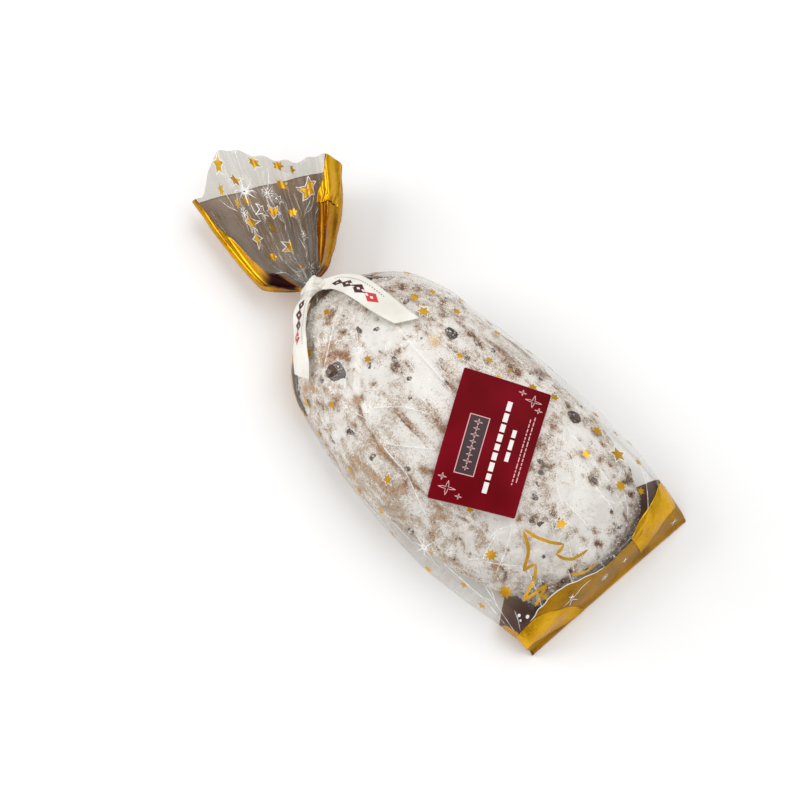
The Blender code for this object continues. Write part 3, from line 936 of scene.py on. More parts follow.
def ray(mesh, on_surface, angle, start, end, width, lift):
    """A tapering ray that starts and ends at these distances from a print's centre."""
    count = max(3, int((end - start) / 1.2))
    reach = np.linspace(start, end, count)
    half = 0.5 * width * (1 - 0.85 * np.linspace(0, 1, count))
    way = np.array([math.cos(angle), math.sin(angle)])
    side = np.array([-way[1], way[0]])
    edges = []
    for sign in (1, -1):
        flat = reach[:, None] * way + sign * half[:, None] * side
        edges.append([mesh.verts.new(p) for p in placed(on_surface(flat, lift))])
    left, right = edges
    for k in range(count - 1):
        mesh.faces.new((left[k], left[k + 1], right[k + 1], right[k]))


def white_print(mesh, on_surface, radius, kind, turn, lift):
    if kind == "burst":
        for k in range(16):
            long = (1.0, 0.30, 0.78, 0.30)[k % 4]
            ray(mesh, on_surface, turn + k * math.pi / 8, 0.5, radius * long, 0.85, lift)
    elif kind in ("flake", "gold_lines"):
        for k in range(6):
            angle = turn + k * math.pi / 3
            ray(mesh, on_surface, angle, 0.25, radius, 0.62, lift)
            for side in (-0.42, 0.42):
                ray(mesh, on_surface, angle + side, radius * 0.55, radius * 0.86, 0.5, lift)
    elif kind == "sparkle":
        for k in range(4):
            ray(mesh, on_surface, turn + k * math.pi / 2, 0.0, radius, 1.1, lift)
    elif kind == "outline_star":
        fan(mesh, star_outline(5, radius, 0.45, turn), on_surface, lift, hole=0.82)
    else:
        fan(mesh, star_outline(8, radius, 0.93, turn), on_surface, lift)


def extra_stars():
    """Further stars over the parts of the front that the first ones leave bare."""
    random = np.random.default_rng(88)
    taken = [(row_of_x(s[0]), s[1]) for s in BODY_STARS]
    taken += [(row_of_x(84.0 + 9 * k), 0.59) for k in range(4)]
    taken += [(row_of_x(32.0 + 18 * k), v) for k in (-2, -1, 0, 1, 2) for v in (0.44, 0.52, 0.59)]
    extra = []
    while len(extra) < 26:
        row, v = random.uniform(58, 290), random.uniform(0.215, 0.785)
        seen_most = 0.33 < v < 0.70
        gap = 34.0 if seen_most else 17.0
        if all(math.hypot(row - r, (v - w) * 365) > gap for r, w in taken):
            taken.append((row, v))
            extra.append((row, v, random.uniform(2.8, 4.2), (5, 6, 6, 8)[random.integers(4)],
                          random.uniform(0, 1), int(random.uniform() < 0.3)))
        elif random.uniform() < 0.002:
            break
    return extra


def film_creases(material):
    """Narrow bright lines along the crests of the film's sharpest creases: painted highlights, partly the film's
    real stress whitening.
    """
    mesh = bmesh.new()
    lines = []
    for line, strength in CREASES:
        line = np.array(line, float)
        lines.append((np.column_stack([row_of_x(line[:, 0]), line[:, 1]]), strength))
    lines += [(line, strength) for line, strength in loose_creases() if strength > 0.3]
    for line, strength in lines:
        width = 0.20 + 0.42 * strength if line[0, 0] < BODY_ROWS else 0.10 + 0.34 * strength
        stroke(mesh, film_lines(line), width, 0.06)
    outside_up(mesh)
    piece("film_creases", mesh, material, "bag", sharp=None)


def outside_up(mesh):
    """Turns a print's faces so that they look away from the bag."""
    centres = np.array([face.calc_center_median() for face in mesh.faces])
    for face, centre in zip(mesh.faces, centres):
        face.normal_update()
        if face.normal.dot(outward_at(centre)) < 0:
            face.normal_flip()


def film_prints(gold, white):
    gold_mesh, white_mesh = bmesh.new(), bmesh.new()
    stars = [(row_of_x(x), *rest) for x, *rest in BODY_STARS]
    stars += [(row_of_share(share), *rest) for share, *rest in MOUTH_STARS]
    stars += extra_stars()
    for row, v, radius, points, turn, outlined in stars:
        inner = {5: 0.50, 6: 0.54, 8: 0.60}[points]
        spot = film_spot(row, v)
        outline = star_outline(points, radius * 0.86, inner, turn * 6)
        fan(gold_mesh, outline, spot, 0.15)
        if outlined:
            outline = star_outline(points, radius * 1.16, inner, turn * 6)
            fan(white_mesh, outline, spot, 0.15, hole=0.86)
    for region, place, v, radius, kind, turn in WHITE_PRINTS:
        row = row_of_x(place) if region == "body" else row_of_share(place)
        target = gold_mesh if kind == "gold_lines" else white_mesh
        white_print(target, film_spot(row, v), radius, kind, turn * 6, 0.2)
    for line in TREE_LINES:
        line = np.array(line)
        stroke(gold_mesh, film_lines(np.column_stack([row_of_x(line[:, 0]), line[:, 1]])), 2.0, 0.18)
    for mesh, name, material in (
        (gold_mesh, "gold_stars", gold),
        (white_mesh, "white_stars", white),
    ):
        outside_up(mesh)
        piece(name, mesh, material, "bag", sharp=None)


def outward_at(centre):
    """Roughly outwards from the film at this place, in the part's own frame."""
    x, y, z = centre / MM - (SHIFT_X, SHIFT_Y, 0.0)
    if x < -121:
        return Vector((0.0, 0.0, 1.0))
    return Vector((0.9 * fade(x, 100, 128), 0.02 * (y + 5) * 0.7, 0.35))


# ---- The loaf ---------------------------------------------------------------------------

LOAF_ROWS, LOAF_LANES = 330, 300
LOAF_ENDS = (-113.5, 122.0)
LOAF_GAP = 1.9  # how far the loaf's mean surface lies inside the film
LOAF_FLOOR = 1.3
NEAR_SLACK, FAR_SLACK = 8.0, 2.0  # how far the film stands off beside the loaf
TIE_ROUNDNESS, END_ROUNDNESS = 5.5, 3.3

# The seam where the dough was folded over: x, y
FOLD_SEAM = ((-66, -37), (-45, -45), (-28, -51), (-13, -55), (4, -55.5), (22, -54), (36, -52), (60, -46))
# Patches with little sugar: x, y, radius, how bare, how brown
BARE_PATCHES = (
    (-20, -65, 8, 0.75, 0.9), (17, -66, 9, 0.8, 0.95), (9, -64, 7, 0.7, 0.9),
    (42, -56, 7, 0.7, 0.8), (68, -45, 7, 0.8, 1.0), (68, -68, 9, 0.7, 0.8),
    (86, -63, 8, 0.65, 0.8), (-78, -36, 6, 0.8, 0.9), (-45, -46, 7, 0.75, 0.8),
    (-19, -22, 6, 0.75, 0.7), (-60, -64, 7, 0.7, 0.9), (-77, 32, 8, 0.7, 0.6),
    (75, -13, 5, 0.7, 0.4), (83, -18, 6, 0.75, 0.4), (-15, -48, 7, 0.5, 0.7),
    (-74, -56, 6, 0.6, 0.9), (-48, -67, 7, 0.6, 0.9), (-31, -68, 8, 0.7, 0.9),
    (-21, 43, 7, 0.55, 0.6), (1, 44, 7, 0.6, 0.3), (17, 53, 6, 0.6, 0.6),
    (-33, 37, 6, 0.5, 0.5), (-57, -24, 5, 0.6, 0.6), (-86, -22, 7, 0.5, 0.5),
    (-53, -14, 5, 0.55, 0.5), (45, -69, 8, 0.6, 0.8), (-90, 0, 9, 0.45, 0.4),
    (-95, 26, 9, 0.6, 0.6), (30, 62, 9, 0.6, 0.8), (-40, 58, 8, 0.6, 0.8),
    (70, 58, 8, 0.55, 0.8), (-5, 62, 8, 0.55, 0.9), (104, 36, 8, 0.4, 0.5),
    (-100, -14, 8, 0.5, 0.6), (110, -30, 7, 0.5, 0.5), (52, 24, 6, 0.35, 0.2),
)
# Drifts of sugar: x, y, radius
DRIFTS = (
    (98, -22, 17), (88, 14, 16), (104, 22, 15), (-62, -6, 13), (-44, -26, 10), (-22, -8, 14),
    (-40, 4, 12), (-6, -30, 9), (70, -32, 12), (110, 2, 13), (60, 36, 14), (22, 36, 12),
)
# Cracks and dents under lumps of sugar, their crust painted darker as shade: x, y, length, direction, depth
CRACKS = (
    (-9, -36, 13, -0.5, 2.2), (-32, -56, 9, -0.6, 2.4), (-75, -36, 9, 0.3, 1.8),
    (60, -56, 10, 0.2, 1.8), (6, 40, 8, -0.2, 1.4), (-50, 24, 8, 1.0, 1.4),
    (30, 54, 11, 0.1, 2.0), (-22, 60, 12, -0.1, 2.2), (86, 50, 10, -0.4, 1.8),
    (-86, 12, 9, 0.9, 1.6), (102, -24, 8, 0.7, 1.6), (24, -42, 9, 0.1, 1.5),
    (-60, -58, 10, -0.3, 1.8), (90, -48, 9, -0.3, 1.8), (-98, 26, 9, 0.8, 1.8),
)


def loaf_section(x):
    """Half width, centre y and top of the loaf's section at x."""
    half, centre, top, under, _ = station_at(np.clip(x, -108, 110))
    slack = NEAR_SLACK * fade(x, -5, 35) * fade(x, 122, 100)
    half = half - LOAF_GAP - (slack + FAR_SLACK) / 2
    return half, centre + (slack - FAR_SLACK) / 2, top - LOAF_GAP, under


def loaf_surface(share, turn):
    """The smooth loaf: share runs from the tie's end to the closed end and turn goes
    round, from the middle of the underside."""
    start, end = LOAF_ENDS
    angle = (share - 0.5) * math.pi
    power = 2 / np.where(share < 0.5, TIE_ROUNDNESS, END_ROUNDNESS)
    x = (start + end) / 2 + (end - start) / 2 * signed_power(np.sin(angle), power)
    scale = np.abs(np.cos(angle)) ** power
    half, centre, top, under = loaf_section(x)
    round_turn = 2 * math.pi * turn - math.pi / 2
    widest = 0.26 * top + 0.4 * under
    y = centre + half * scale * signed_power(np.cos(round_turn), 2 / 2.35)
    up = signed_power(np.sin(round_turn), 2 / 2.25)
    tall = scale ** 0.8
    low = widest + 4.0
    z = widest * (0.35 + 0.65 * tall) + np.where(up > 0, (top - widest) * tall, low * tall) * up
    return np.column_stack([x, y, z])


def soft_floor(z):
    """Presses the underside flat on the film without a hard edge."""
    over = z - LOAF_FLOOR
    return LOAF_FLOOR + 0.5 * (over + np.sqrt(over * over + 2.4))


def loaf_relief(spots, normals):
    """Relief of the crust along its normals, how much sugar lies on it and how brown it
    is underneath; in cracks, dents and the fold seam the crust is painted darker as shade."""
    x, y = spots[:, 0], spots[:, 1]
    lumps = 1.5 * lattice_noise(spots, 37, 1) + 0.95 * lattice_noise(spots, 17, 2)
    fine = 0.75 * lattice_noise(spots, 8.5, 3) + 0.50 * lattice_noise(spots, 3.6, 4)
    fine += 0.28 * lattice_noise(spots, 1.9, 5)
    relief = lumps + fine
    upper = fade(normals[:, 2], -0.25, 0.55)
    sugar = 0.77 + 0.11 * lattice_noise(spots, 24, 6) + 0.20 * lattice_noise(spots, 8.5, 7)
    sugar += 0.26 * lattice_noise(spots, 3.6, 8) + 0.16 * lattice_noise(spots, 2.1, 17)
    brown = 0.55 + 0.35 * lattice_noise(spots, 15, 9)
    for px, py, radius, bare, tone in BARE_PATCHES:
        away = np.hypot(x - px, y - py) / radius
        inside = fade(away + 0.35 * lattice_noise(spots, 4.5, 10), 1.15, 0.35) * upper
        sugar -= 0.36 * bare * inside
        brown += (tone - brown) * inside * 0.9
        relief -= 0.55 * inside
    for px, py, radius in DRIFTS:
        away = np.hypot(x - px, y - py) / radius
        inside = fade(away + 0.3 * lattice_noise(spots, 6, 13), 1.2, 0.2) * upper
        sugar += 0.50 * inside
        relief += 0.35 * inside
    for px, py, length, way, depth in CRACKS:
        ax = (x - px) * math.cos(way) + (y - py) * math.sin(way)
        ay = -(x - px) * math.sin(way) + (y - py) * math.cos(way)
        ay = ay + 0.05 * ax * ax + 1.1 * lattice_noise(spots, 5, 14)
        inside = fade(np.abs(ax), length / 2, length / 4) * upper
        cut = inside * np.exp(-((ay / 1.1) ** 2))
        relief += inside * (0.9 * np.exp(-(((ay - 3.2) / 2.6) ** 2))) - depth * cut
        sugar -= 0.6 * cut
        # Painted shade: the bare crust in the crack is made darker.
        brown += (0.15 - brown) * cut
    random = np.random.default_rng(30)
    for _ in range(420):
        px, py = random.uniform(-108, 119), random.uniform(-70, 62)
        radius, depth = random.uniform(1.0, 2.8), random.uniform(0.4, 1.5)
        near = np.abs(x - px) + np.abs(y - py) < 4 * radius
        away = np.hypot(x[near] - px, y[near] - py) / radius
        dent = np.exp(-(away**2)) * upper[near]
        relief[near] -= depth * dent
        sugar[near] -= random.uniform(0.1, 0.75) * dent
        # Painted shade: the crust is darker in each dent.
        brown[near] -= 0.3 * dent
    seam = np.array(FOLD_SEAM, float)
    seam_y = np.interp(x, seam[:, 0], seam[:, 1])
    across = (y - seam_y) * 1.25 + 1.9 * lattice_noise(spots, 12, 15)
    across += 0.8 * lattice_noise(spots, 4, 16)
    ends = fade(x, -74, -52) * fade(x, 72, 48) * upper
    ends = ends * np.clip(0.75 + 0.7 * lattice_noise(spots, 9, 18), 0.25, 1)
    cut = ends * np.exp(-((across / 1.3) ** 2))
    relief += ends * 0.9 * np.exp(-(((across - 5.5) / 4.5) ** 2))
    relief -= 2.6 * cut + 0.9 * ends * fade(across, 0, -3) * fade(across, -16, -5)
    sugar -= 0.50 * cut
    # Painted shade: the fold seam's groove loses its sugar and its crust is made darker.
    brown += (0.2 - brown) * cut * 0.8
    steep = fade(normals[:, 2], 0.45, -0.1)
    sugar -= 0.22 * steep + 0.08 * fade(x, -70, -104) - 0.01 * fade(y, -30, -54)
    brown += 0.25 * steep + 0.35 * fade(y, -8, -44)
    return np.clip(relief, -4.5, 1.7), np.clip(sugar, 0.14, 1.2), np.clip(brown, 0, 1)


def grid_normals(points, rows, lanes):
    """Normals of a closed grid of rows by lanes."""
    grid = points.reshape(rows, lanes, 3)
    along = np.gradient(grid, axis=0)
    around = np.roll(grid, -1, axis=1) - np.roll(grid, 1, axis=1)
    normals = np.cross(along, around).reshape(-1, 3)
    return normals / np.maximum(np.linalg.norm(normals, axis=1), 1e-6)[:, None]


def keep_inside(spots, gap):
    """Moves points inwards until they are this far inside the wrinkled film."""
    near_film = FILM[:BODY_ROWS:2, ::2].reshape(-1, 3)
    facing = NORMALS[:BODY_ROWS:2, ::2].reshape(-1, 3)
    tree = KDTree(len(near_film))
    for index, spot in enumerate(near_film):
        tree.insert(spot, index)
    tree.balance()
    nearest = np.array([tree.find(spot)[1] for spot in spots])
    inside = ((near_film[nearest] - spots) * facing[nearest]).sum(axis=1)
    short = np.maximum(gap - inside, 0.0)
    return spots - facing[nearest] * short[:, None]


def make_loaf(material):
    share = np.linspace(0.0, 1.0, LOAF_ROWS)
    share = 0.5 + (share - 0.5) * (1 - 0.0015)
    turn = np.arange(LOAF_LANES) / LOAF_LANES
    shares, turns = np.meshgrid(share, turn, indexing="ij")
    smooth = loaf_surface(shares.ravel(), turns.ravel())
    normals = grid_normals(smooth, LOAF_ROWS, LOAF_LANES)
    if (normals[:, 2] * (smooth[:, 2] - 30)).sum() < 0:
        normals = -normals
    relief, sugar, brown = loaf_relief(smooth, normals)
    tips = np.minimum(shares.ravel(), 1 - shares.ravel())
    relief = relief * fade(tips, 0.0, 0.02)
    spots = smooth + normals * relief[:, None]
    spots[:, 2] = soft_floor(spots[:, 2])
    spots = keep_inside(spots, 0.45)
    spots = spots.reshape(LOAF_ROWS, LOAF_LANES, 3)
    for end in (0, -1):
        spots[end] = spots[end].mean(axis=0)
    sugar = sugar.reshape(LOAF_ROWS, LOAF_LANES)
    brown = brown.reshape(LOAF_ROWS, LOAF_LANES)

    def place(row, column):
        return spots[row.astype(int), column.astype(int) % LOAF_LANES]

    def attributes(row, column):
        row, column = row.astype(int), column.astype(int) % LOAF_LANES
        return {"sugar": sugar[row, column], "brown": brown[row, column]}

    mesh = sheet(LOAF_ROWS, LOAF_LANES + 1, place, from_the_spine, attributes, weld=True)
    piece("loaf", mesh, material, "bag")
    return spots, sugar


def on_loaf(spots, x, y):
    """The loaf's upper surface at x, y and the way that it faces there."""
    flat = spots.reshape(-1, 3)
    upper = flat[:, 2] > 18
    away = np.where(upper, np.hypot(flat[:, 0] - x, flat[:, 1] - y), 1e9)
    nearest = int(np.argmin(away))
    i, j = divmod(nearest, spots.shape[1])
    i = min(max(i, 3), spots.shape[0] - 4)
    along = spots[i + 3, j] - spots[i - 3, j]
    around = spots[i, (j + 3) % spots.shape[1]] - spots[i, (j - 3) % spots.shape[1]]
    normal = np.cross(along, around)
    normal /= np.linalg.norm(normal) + 1e-9
    if normal[2] < 0:
        normal = -normal
    return flat[nearest], normal


# Fruit that shows through the sugar: x, y, radius, length over width, how dusted
FRUIT = (
    (-65.5, -40.5, 7.0, 1.12, 0.0), (50, 45, 5.6, 1.2, 0.0), (-35, 26, 4.8, 1.3, 0.25),
    (-100, 15, 4.6, 1.3, 0.3), (-68, -6, 2.6, 1.5, 0.2), (-81, -20, 2.4, 1.5, 0.3),
    (-75, -13, 2.6, 1.4, 0.3), (-47, -12, 3.6, 1.3, 0.5), (-16, -59, 3.8, 1.7, 0.3),
    (-8, -59, 2.8, 1.5, 0.4), (7, -52, 3.0, 1.6, 0.3), (-13, 0, 2.4, 1.5, 0.35),
    (100, -26, 3.4, 1.4, 0.4), (82, -20, 3.6, 1.3, 0.2), (87, -16, 2.6, 1.4, 0.3),
    (66, 3, 2.8, 1.5, 0.25), (70, -3, 2.4, 1.3, 0.3), (74, -9, 2.6, 1.4, 0.3),
    (-32, -58, 3.2, 1.5, 0.4), (-99, 30, 3.6, 1.3, 0.4), (120, -9, 3.0, 1.3, 0.3),
    (-53, -25, 2.8, 1.5, 0.5), (-30, -15, 2.6, 1.4, 0.5), (-18, -22, 2.8, 1.3, 0.5),
    (61, 8, 2.6, 1.4, 0.4), (-33, 25, 3.0, 1.4, 0.4), (-97, 16, 3.2, 1.3, 0.4),
    (-58, 42, 3.0, 1.4, 0.5), (-5, 38, 3.2, 1.4, 0.5), (20, 47, 3.2, 1.4, 0.5),
    (28, 52, 2.8, 1.4, 0.4), (12, 50, 2.6, 1.4, 0.5), (64, 50, 3.0, 1.4, 0.5),
    (98, 30, 3.0, 1.4, 0.6), (92, -6, 2.6, 1.4, 0.6), (-88, -14, 2.4, 1.4, 0.5),
    (-44, 10, 2.6, 1.4, 0.6), (-24, 8, 2.4, 1.4, 0.5), (-70, 20, 3.0, 1.4, 0.5),
    (-84, 38, 3.2, 1.4, 0.4), (-62, 54, 3.2, 1.4, 0.4), (-20, 60, 3.4, 1.4, 0.4),
    (35, 66, 3.4, 1.4, 0.4), (90, 55, 3.2, 1.4, 0.4), (30, -68, 3.2, 1.4, 0.4),
    (-40, -66, 3.2, 1.4, 0.4), (60, -62, 3.0, 1.4, 0.4), (104, -44, 3.0, 1.4, 0.4),
    (-70, -48, 3.0, 1.4, 0.4), (114, 24, 2.8, 1.4, 0.5),
)


def make_fruit(spots, material):
    """Raisins half sunk in the crust, wrinkled and dusted."""
    mesh = bmesh.new()
    dust_layer = mesh.verts.layers.float.new("sugar")
    random = np.random.default_rng(5)
    for index, (x, y, radius, long, dust) in enumerate(FRUIT):
        spot, normal = on_loaf(spots, x, y)
        made = bmesh.ops.create_icosphere(mesh, subdivisions=4 if radius > 4 else 3, radius=1.0)
        turn = random.uniform(0, math.pi)
        side = np.cross(normal, (math.cos(turn), math.sin(turn), 0.2))
        side /= np.linalg.norm(side)
        third = np.cross(normal, side)
        unit = np.array([vertex.co for vertex in made["verts"]])
        folds = lattice_noise(unit + index * 3.1, 0.42, 41)
        small = radius < 4
        folds = 1 - (0.36 if small else 0.22) * np.abs(folds) ** 0.7 + 0.07 * lattice_noise(unit + index, 0.9, 42)
        shape = unit * folds[:, None]
        body = (
            shape[:, :1] * side * radius * long**0.5
            + shape[:, 1:2] * third * radius / long**0.5
            + shape[:, 2:] * normal * radius * 0.62
        )
        body += spot - normal * radius * (0.38 if small else 0.22)
        body[:, 2] = np.minimum(body[:, 2], spot[2] + min(1.9, 0.34 * radius) + 0.2 * shape[:, 2])
        grain = lattice_noise(body, 1.3, 43) * 0.35
        level = dust * (0.85 if small else 0.5) + grain + 0.3 * (unit[:, 2] < 0.05) - 0.08
        for vertex, where, value in zip(made["verts"], placed(body), level):
            vertex.co = where
            vertex[dust_layer] = float(np.clip(value, 0, 1))
    bmesh.ops.recalc_face_normals(mesh, faces=mesh.faces)
    return piece("raisins", mesh, material, "bag", sharp=None)


def make_crumbs(spots, sugar, material):
    """Clumps of sugar and crumbs of crust lying on the loaf."""
    mesh = bmesh.new()
    layer = mesh.verts.layers.float.new("sugar")
    random = np.random.default_rng(6)
    rows, lanes = spots.shape[:2]
    made_count = 0
    while made_count < 1900:
        i, j = random.integers(8, rows - 8), random.integers(0, lanes)
        spot = spots[i, j]
        if spot[2] < 9:
            continue
        along = spots[i + 1, j] - spots[i - 1, j]
        around = spots[i, (j + 1) % lanes] - spots[i, (j - 1) % lanes]
        normal = np.cross(along, around)
        normal /= np.linalg.norm(normal) + 1e-9
        if normal @ (spot - (spot[0], -5, 25)) < 0:
            normal = -normal
        dusty = random.uniform() < 0.2 + sugar[i, j]
        size = random.uniform(0.28, 0.62) * (1.25 if dusty else 0.9)
        made = bmesh.ops.create_icosphere(mesh, subdivisions=1, radius=size * MM)
        centre = placed(spot + normal * size * 0.35)
        stretch = random.uniform(0.6, 1.35, 3)
        value = 1.0 if dusty else random.uniform(0.0, 0.35)
        for vertex in made["verts"]:
            vertex.co = Vector(centre) + Vector(np.array(vertex.co) * stretch)
            vertex[layer] = value
        made_count += 1
    return piece("sugar_crumbs", mesh, material, "bag", sharp=None)

# ---- The ribbon -------------------------------------------------------------------------

RIBBON_WALL = 0.38
RIBBON_LIFT = 1.0
TIE_FROM = (-120.1, -7.0, 29.3)
TIE_TO = (-125.7, -6.7, 29.1)
TIE_INNER_RADIUS = 7.4
TIE_OUTER_RADIUS = 9.2
KNOT_CENTRE = (-120.3, -8.2, 42.0)
KNOT_SIZE = (11.0, 14.0, 9.2)
# Each tail's two edges, from the knot to the cut end: x, y, z of one edge, then the other
FAR_TAIL = (
    (-121.0, -4.5, 42.5, -118.5, -9.5, 41.0),
    (-117.5, 1.2, 45.5, -113.5, -6.0, 45.5),
    (-110.0, 9.0, 52.5, -105.5, -4.3, 54.5),
    (-98.5, 13.3, 59.5, -95.0, -3.2, 62.0),
    (-82.0, 14.6, 65.0, -82.0, -1.8, 67.0),
    (-67.0, 15.4, 67.5, -70.0, 0.4, 69.0),
    (-54.0, 16.6, 68.5, -61.0, 3.2, 69.5),
)
NEAR_TAIL = (
    (-117.5, -11.0, 41.0, -122.0, -11.5, 37.5),
    (-114.3, -18.5, 43.5, -120.8, -21.0, 36.5),
    (-107.8, -25.7, 47.5, -117.0, -28.5, 37.0),
    (-100.0, -32.0, 50.5, -110.5, -34.5, 38.0),
    (-92.0, -38.5, 52.5, -102.5, -41.0, 39.5),
    (-84.0, -45.5, 52.5, -94.5, -47.5, 39.5),
    (-75.5, -53.5, 48.5, -87.5, -54.5, 38.0),
)


def tail_surface(edges):
    """The tail as a surface: share along it, share across it and a lift give points."""
    steps, lanes = 45, 9
    grid = np.zeros((steps, lanes, 3))
    for i in range(steps):
        both = point_on(edges, i / (steps - 1))
        for j in range(lanes):
            lane = j / (lanes - 1)
            gap = RIBBON_LIFT + 0.5 * math.sin(math.pi * lane)
            grid[i, j] = off_film(both[:3] * (1 - lane) + both[3:] * lane, gap)
    along = np.gradient(grid, axis=0)
    across = np.gradient(grid, axis=1)
    up = np.cross(along, across)
    up /= np.linalg.norm(up, axis=2)[:, :, None]
    if up[..., 2].sum() < 0:
        up = -up

    def surface(share, lane, lift=0.0):
        row = np.clip(np.asarray(share, float) * (steps - 1), 0, steps - 1.001)
        column = np.clip(np.asarray(lane, float) * (lanes - 1), 0, lanes - 1.001)
        i, j = row.astype(int), column.astype(int)
        s, t = (row - i)[..., None], (column - j)[..., None]
        total = 0
        for di, wi in ((0, 1 - s), (1, s)):
            for dj, wj in ((0, 1 - t), (1, t)):
                total = total + wi * wj * (grid[i + di, j + dj] + lift * up[i + di, j + dj])
        return total

    length = np.linalg.norm(np.diff(grid[:, lanes // 2], axis=0), axis=1).sum()
    width = np.linalg.norm(np.diff(grid[steps // 2], axis=0), axis=1).sum()
    return surface, length, width


def make_tail(name, edges, satin, inks):
    surface, length, width = tail_surface(edges)
    rows, columns = 90, 25

    def attributes(row, column):
        return {"edge": np.abs(column / (columns - 1) - 0.5) * 2, "lane": column / (columns - 1)}

    mesh = sheet(
        rows,
        columns,
        lambda row, column: surface(row / (rows - 1), column / (columns - 1)),
        upwards,
        attributes,
    )
    tail = piece(name, mesh, satin, "ribbon", sharp=None)
    solidify(tail, RIBBON_WALL, -1.0)
    maroon, red = bmesh.new(), bmesh.new()

    def spot(centre_along, centre_across):
        def on_surface(flat, lift):
            share = (centre_along + flat[:, 0]) / length
            lane = 0.5 + (centre_across + flat[:, 1]) / width
            return surface(share, lane, lift)

        return on_surface

    diamond = np.array([(4.9, 0.0), (0.0, 3.7), (-4.9, 0.0), (0.0, -3.7)])
    start = length * PRINT_START[name]
    for k in range(4):
        mesh = red if k == 3 else maroon
        place = start + k * 8.6
        fan(mesh, with_middles(diamond), spot(place, 1.2), 0.07, hole=0.26)
    for k in range(24):
        on_surface = spot(start - 4.0 + k * 1.45, -4.6)
        dot = np.array([(0.42, 0.0), (0.0, 0.42), (-0.42, 0.0), (0.0, -0.42)])
        fan(maroon, dot, on_surface, 0.07)
    for mesh, ink, part in ((maroon, inks[0], "dark_print"), (red, inks[1], "red_print")):
        for face in mesh.faces:
            face.normal_update()
            if face.normal.z < 0:
                face.normal_flip()
        piece(f"{name}_{part}", mesh, ink, "ribbon", sharp=None)


PRINT_START = {"far_tail": 0.30, "near_tail": 0.20}


def with_middles(outline):
    middles = (outline + np.roll(outline, -1, axis=0)) / 2
    return np.stack([outline, middles], axis=1).reshape(-1, 2)


def make_band(satin):
    """Three turns of ribbon round the neck, each a crumpled strip."""
    start, end = np.array(TIE_FROM), np.array(TIE_TO)
    axis = (end - start) / np.linalg.norm(end - start)
    side = np.cross(axis, (0, 0, 1))
    side /= np.linalg.norm(side)
    up = np.cross(side, axis)
    rows, columns = 200, 41

    def place(row, column):
        turn = row / (rows - 1) * 2 * math.pi
        share = column / (columns - 1)
        folds = 0.5 + 0.5 * np.cos(2 * math.pi * (3 * share + 0.35 * np.sin(turn + 1) + 0.1))
        crumple = 0.22 * np.sin(7 * turn + 9 * share) + 0.15 * np.sin(13 * turn - 5 * share)
        round_off = 1 - np.abs(2 * share - 1) ** 5
        mean = (TIE_INNER_RADIUS + TIE_OUTER_RADIUS) / 2
        radius = mean - 0.9 + 1.5 * round_off * (0.45 + 0.55 * folds) + crumple * round_off
        along = (share - 0.5) * (np.linalg.norm(end - start) + 1.2) + 0.3 * np.sin(turn + 2)
        spots = (start + end) / 2 + along[:, None] * axis
        spots = spots + radius[:, None] * (
            np.cos(turn)[:, None] * side + np.sin(turn)[:, None] * up
        )
        return spots

    middle = placed((start + end) / 2)
    mesh = sheet(
        rows,
        columns,
        place,
        lambda c: c - middle,
        lambda row, column: {
            "edge": np.abs(column / (columns - 1) - 0.5) * 2,
            "lane": column / (columns - 1) * 2.3 % 1,
        },
        weld=True,
    )
    band = piece("ribbon_turns", mesh, satin, "ribbon", sharp=None)
    solidify(band, 0.5, -1.0)


def make_knot(satin):
    """The knot: folds of ribbon that wrap over one another."""
    mesh = bmesh.new()
    bmesh.ops.create_icosphere(mesh, subdivisions=6, radius=1.0)
    unit = np.array([vertex.co for vertex in mesh.verts])
    x, y, z = unit.T
    around = np.arctan2(y, x)
    pinch = 1 - 0.13 * np.cos(3 * around + 0.6) - 0.10 * np.exp(-9 * y * y)
    wrap = 0.10 * np.abs(np.sin(2.4 * (x * 1.6 + 0.9 * y) + 0.8)) ** 0.7
    pleat = 0.035 * np.sin(15 * (0.8 * x - y) + 3 * z) * fade(z, -0.2, 0.5)
    crossing = 0.16 * np.exp(-(((y + 0.55 * x - 0.1) / 0.22) ** 2)) * fade(z, 0.0, 0.6)
    lump = 0.05 * lattice_noise(unit, 0.45, 51) + 0.02 * lattice_noise(unit, 0.2, 52)
    swell = pinch * (0.90 + wrap + pleat + crossing * 0.6 + lump)
    spots = unit * swell[:, None] * np.array(KNOT_SIZE) / 2 + KNOT_CENTRE
    lane = mesh.verts.layers.float.new("lane")
    edge = mesh.verts.layers.float.new("edge")
    for vertex, where, value, fold in zip(mesh.verts, placed(spots), x * 1.6 + 0.9 * y, wrap):
        vertex.co = where
        vertex[lane] = float(value)
        vertex[edge] = float(1 - fold * 9)
    piece("knot", mesh, satin, "ribbon", sharp=None)


# ---- The card ---------------------------------------------------------------------------

LABEL_LONG = 82.5
LABEL_SHORT = 54.0
LABEL_THICK = 0.5
LABEL_CENTRE = (33.0, -7.4)
LABEL_TURN = -58.5
LABEL_BEND = 0.75  # share of the bag's own bend that the stiff card takes up
LABEL_GAP = 0.5
CORNER = 0.8  # radius of the card's corners


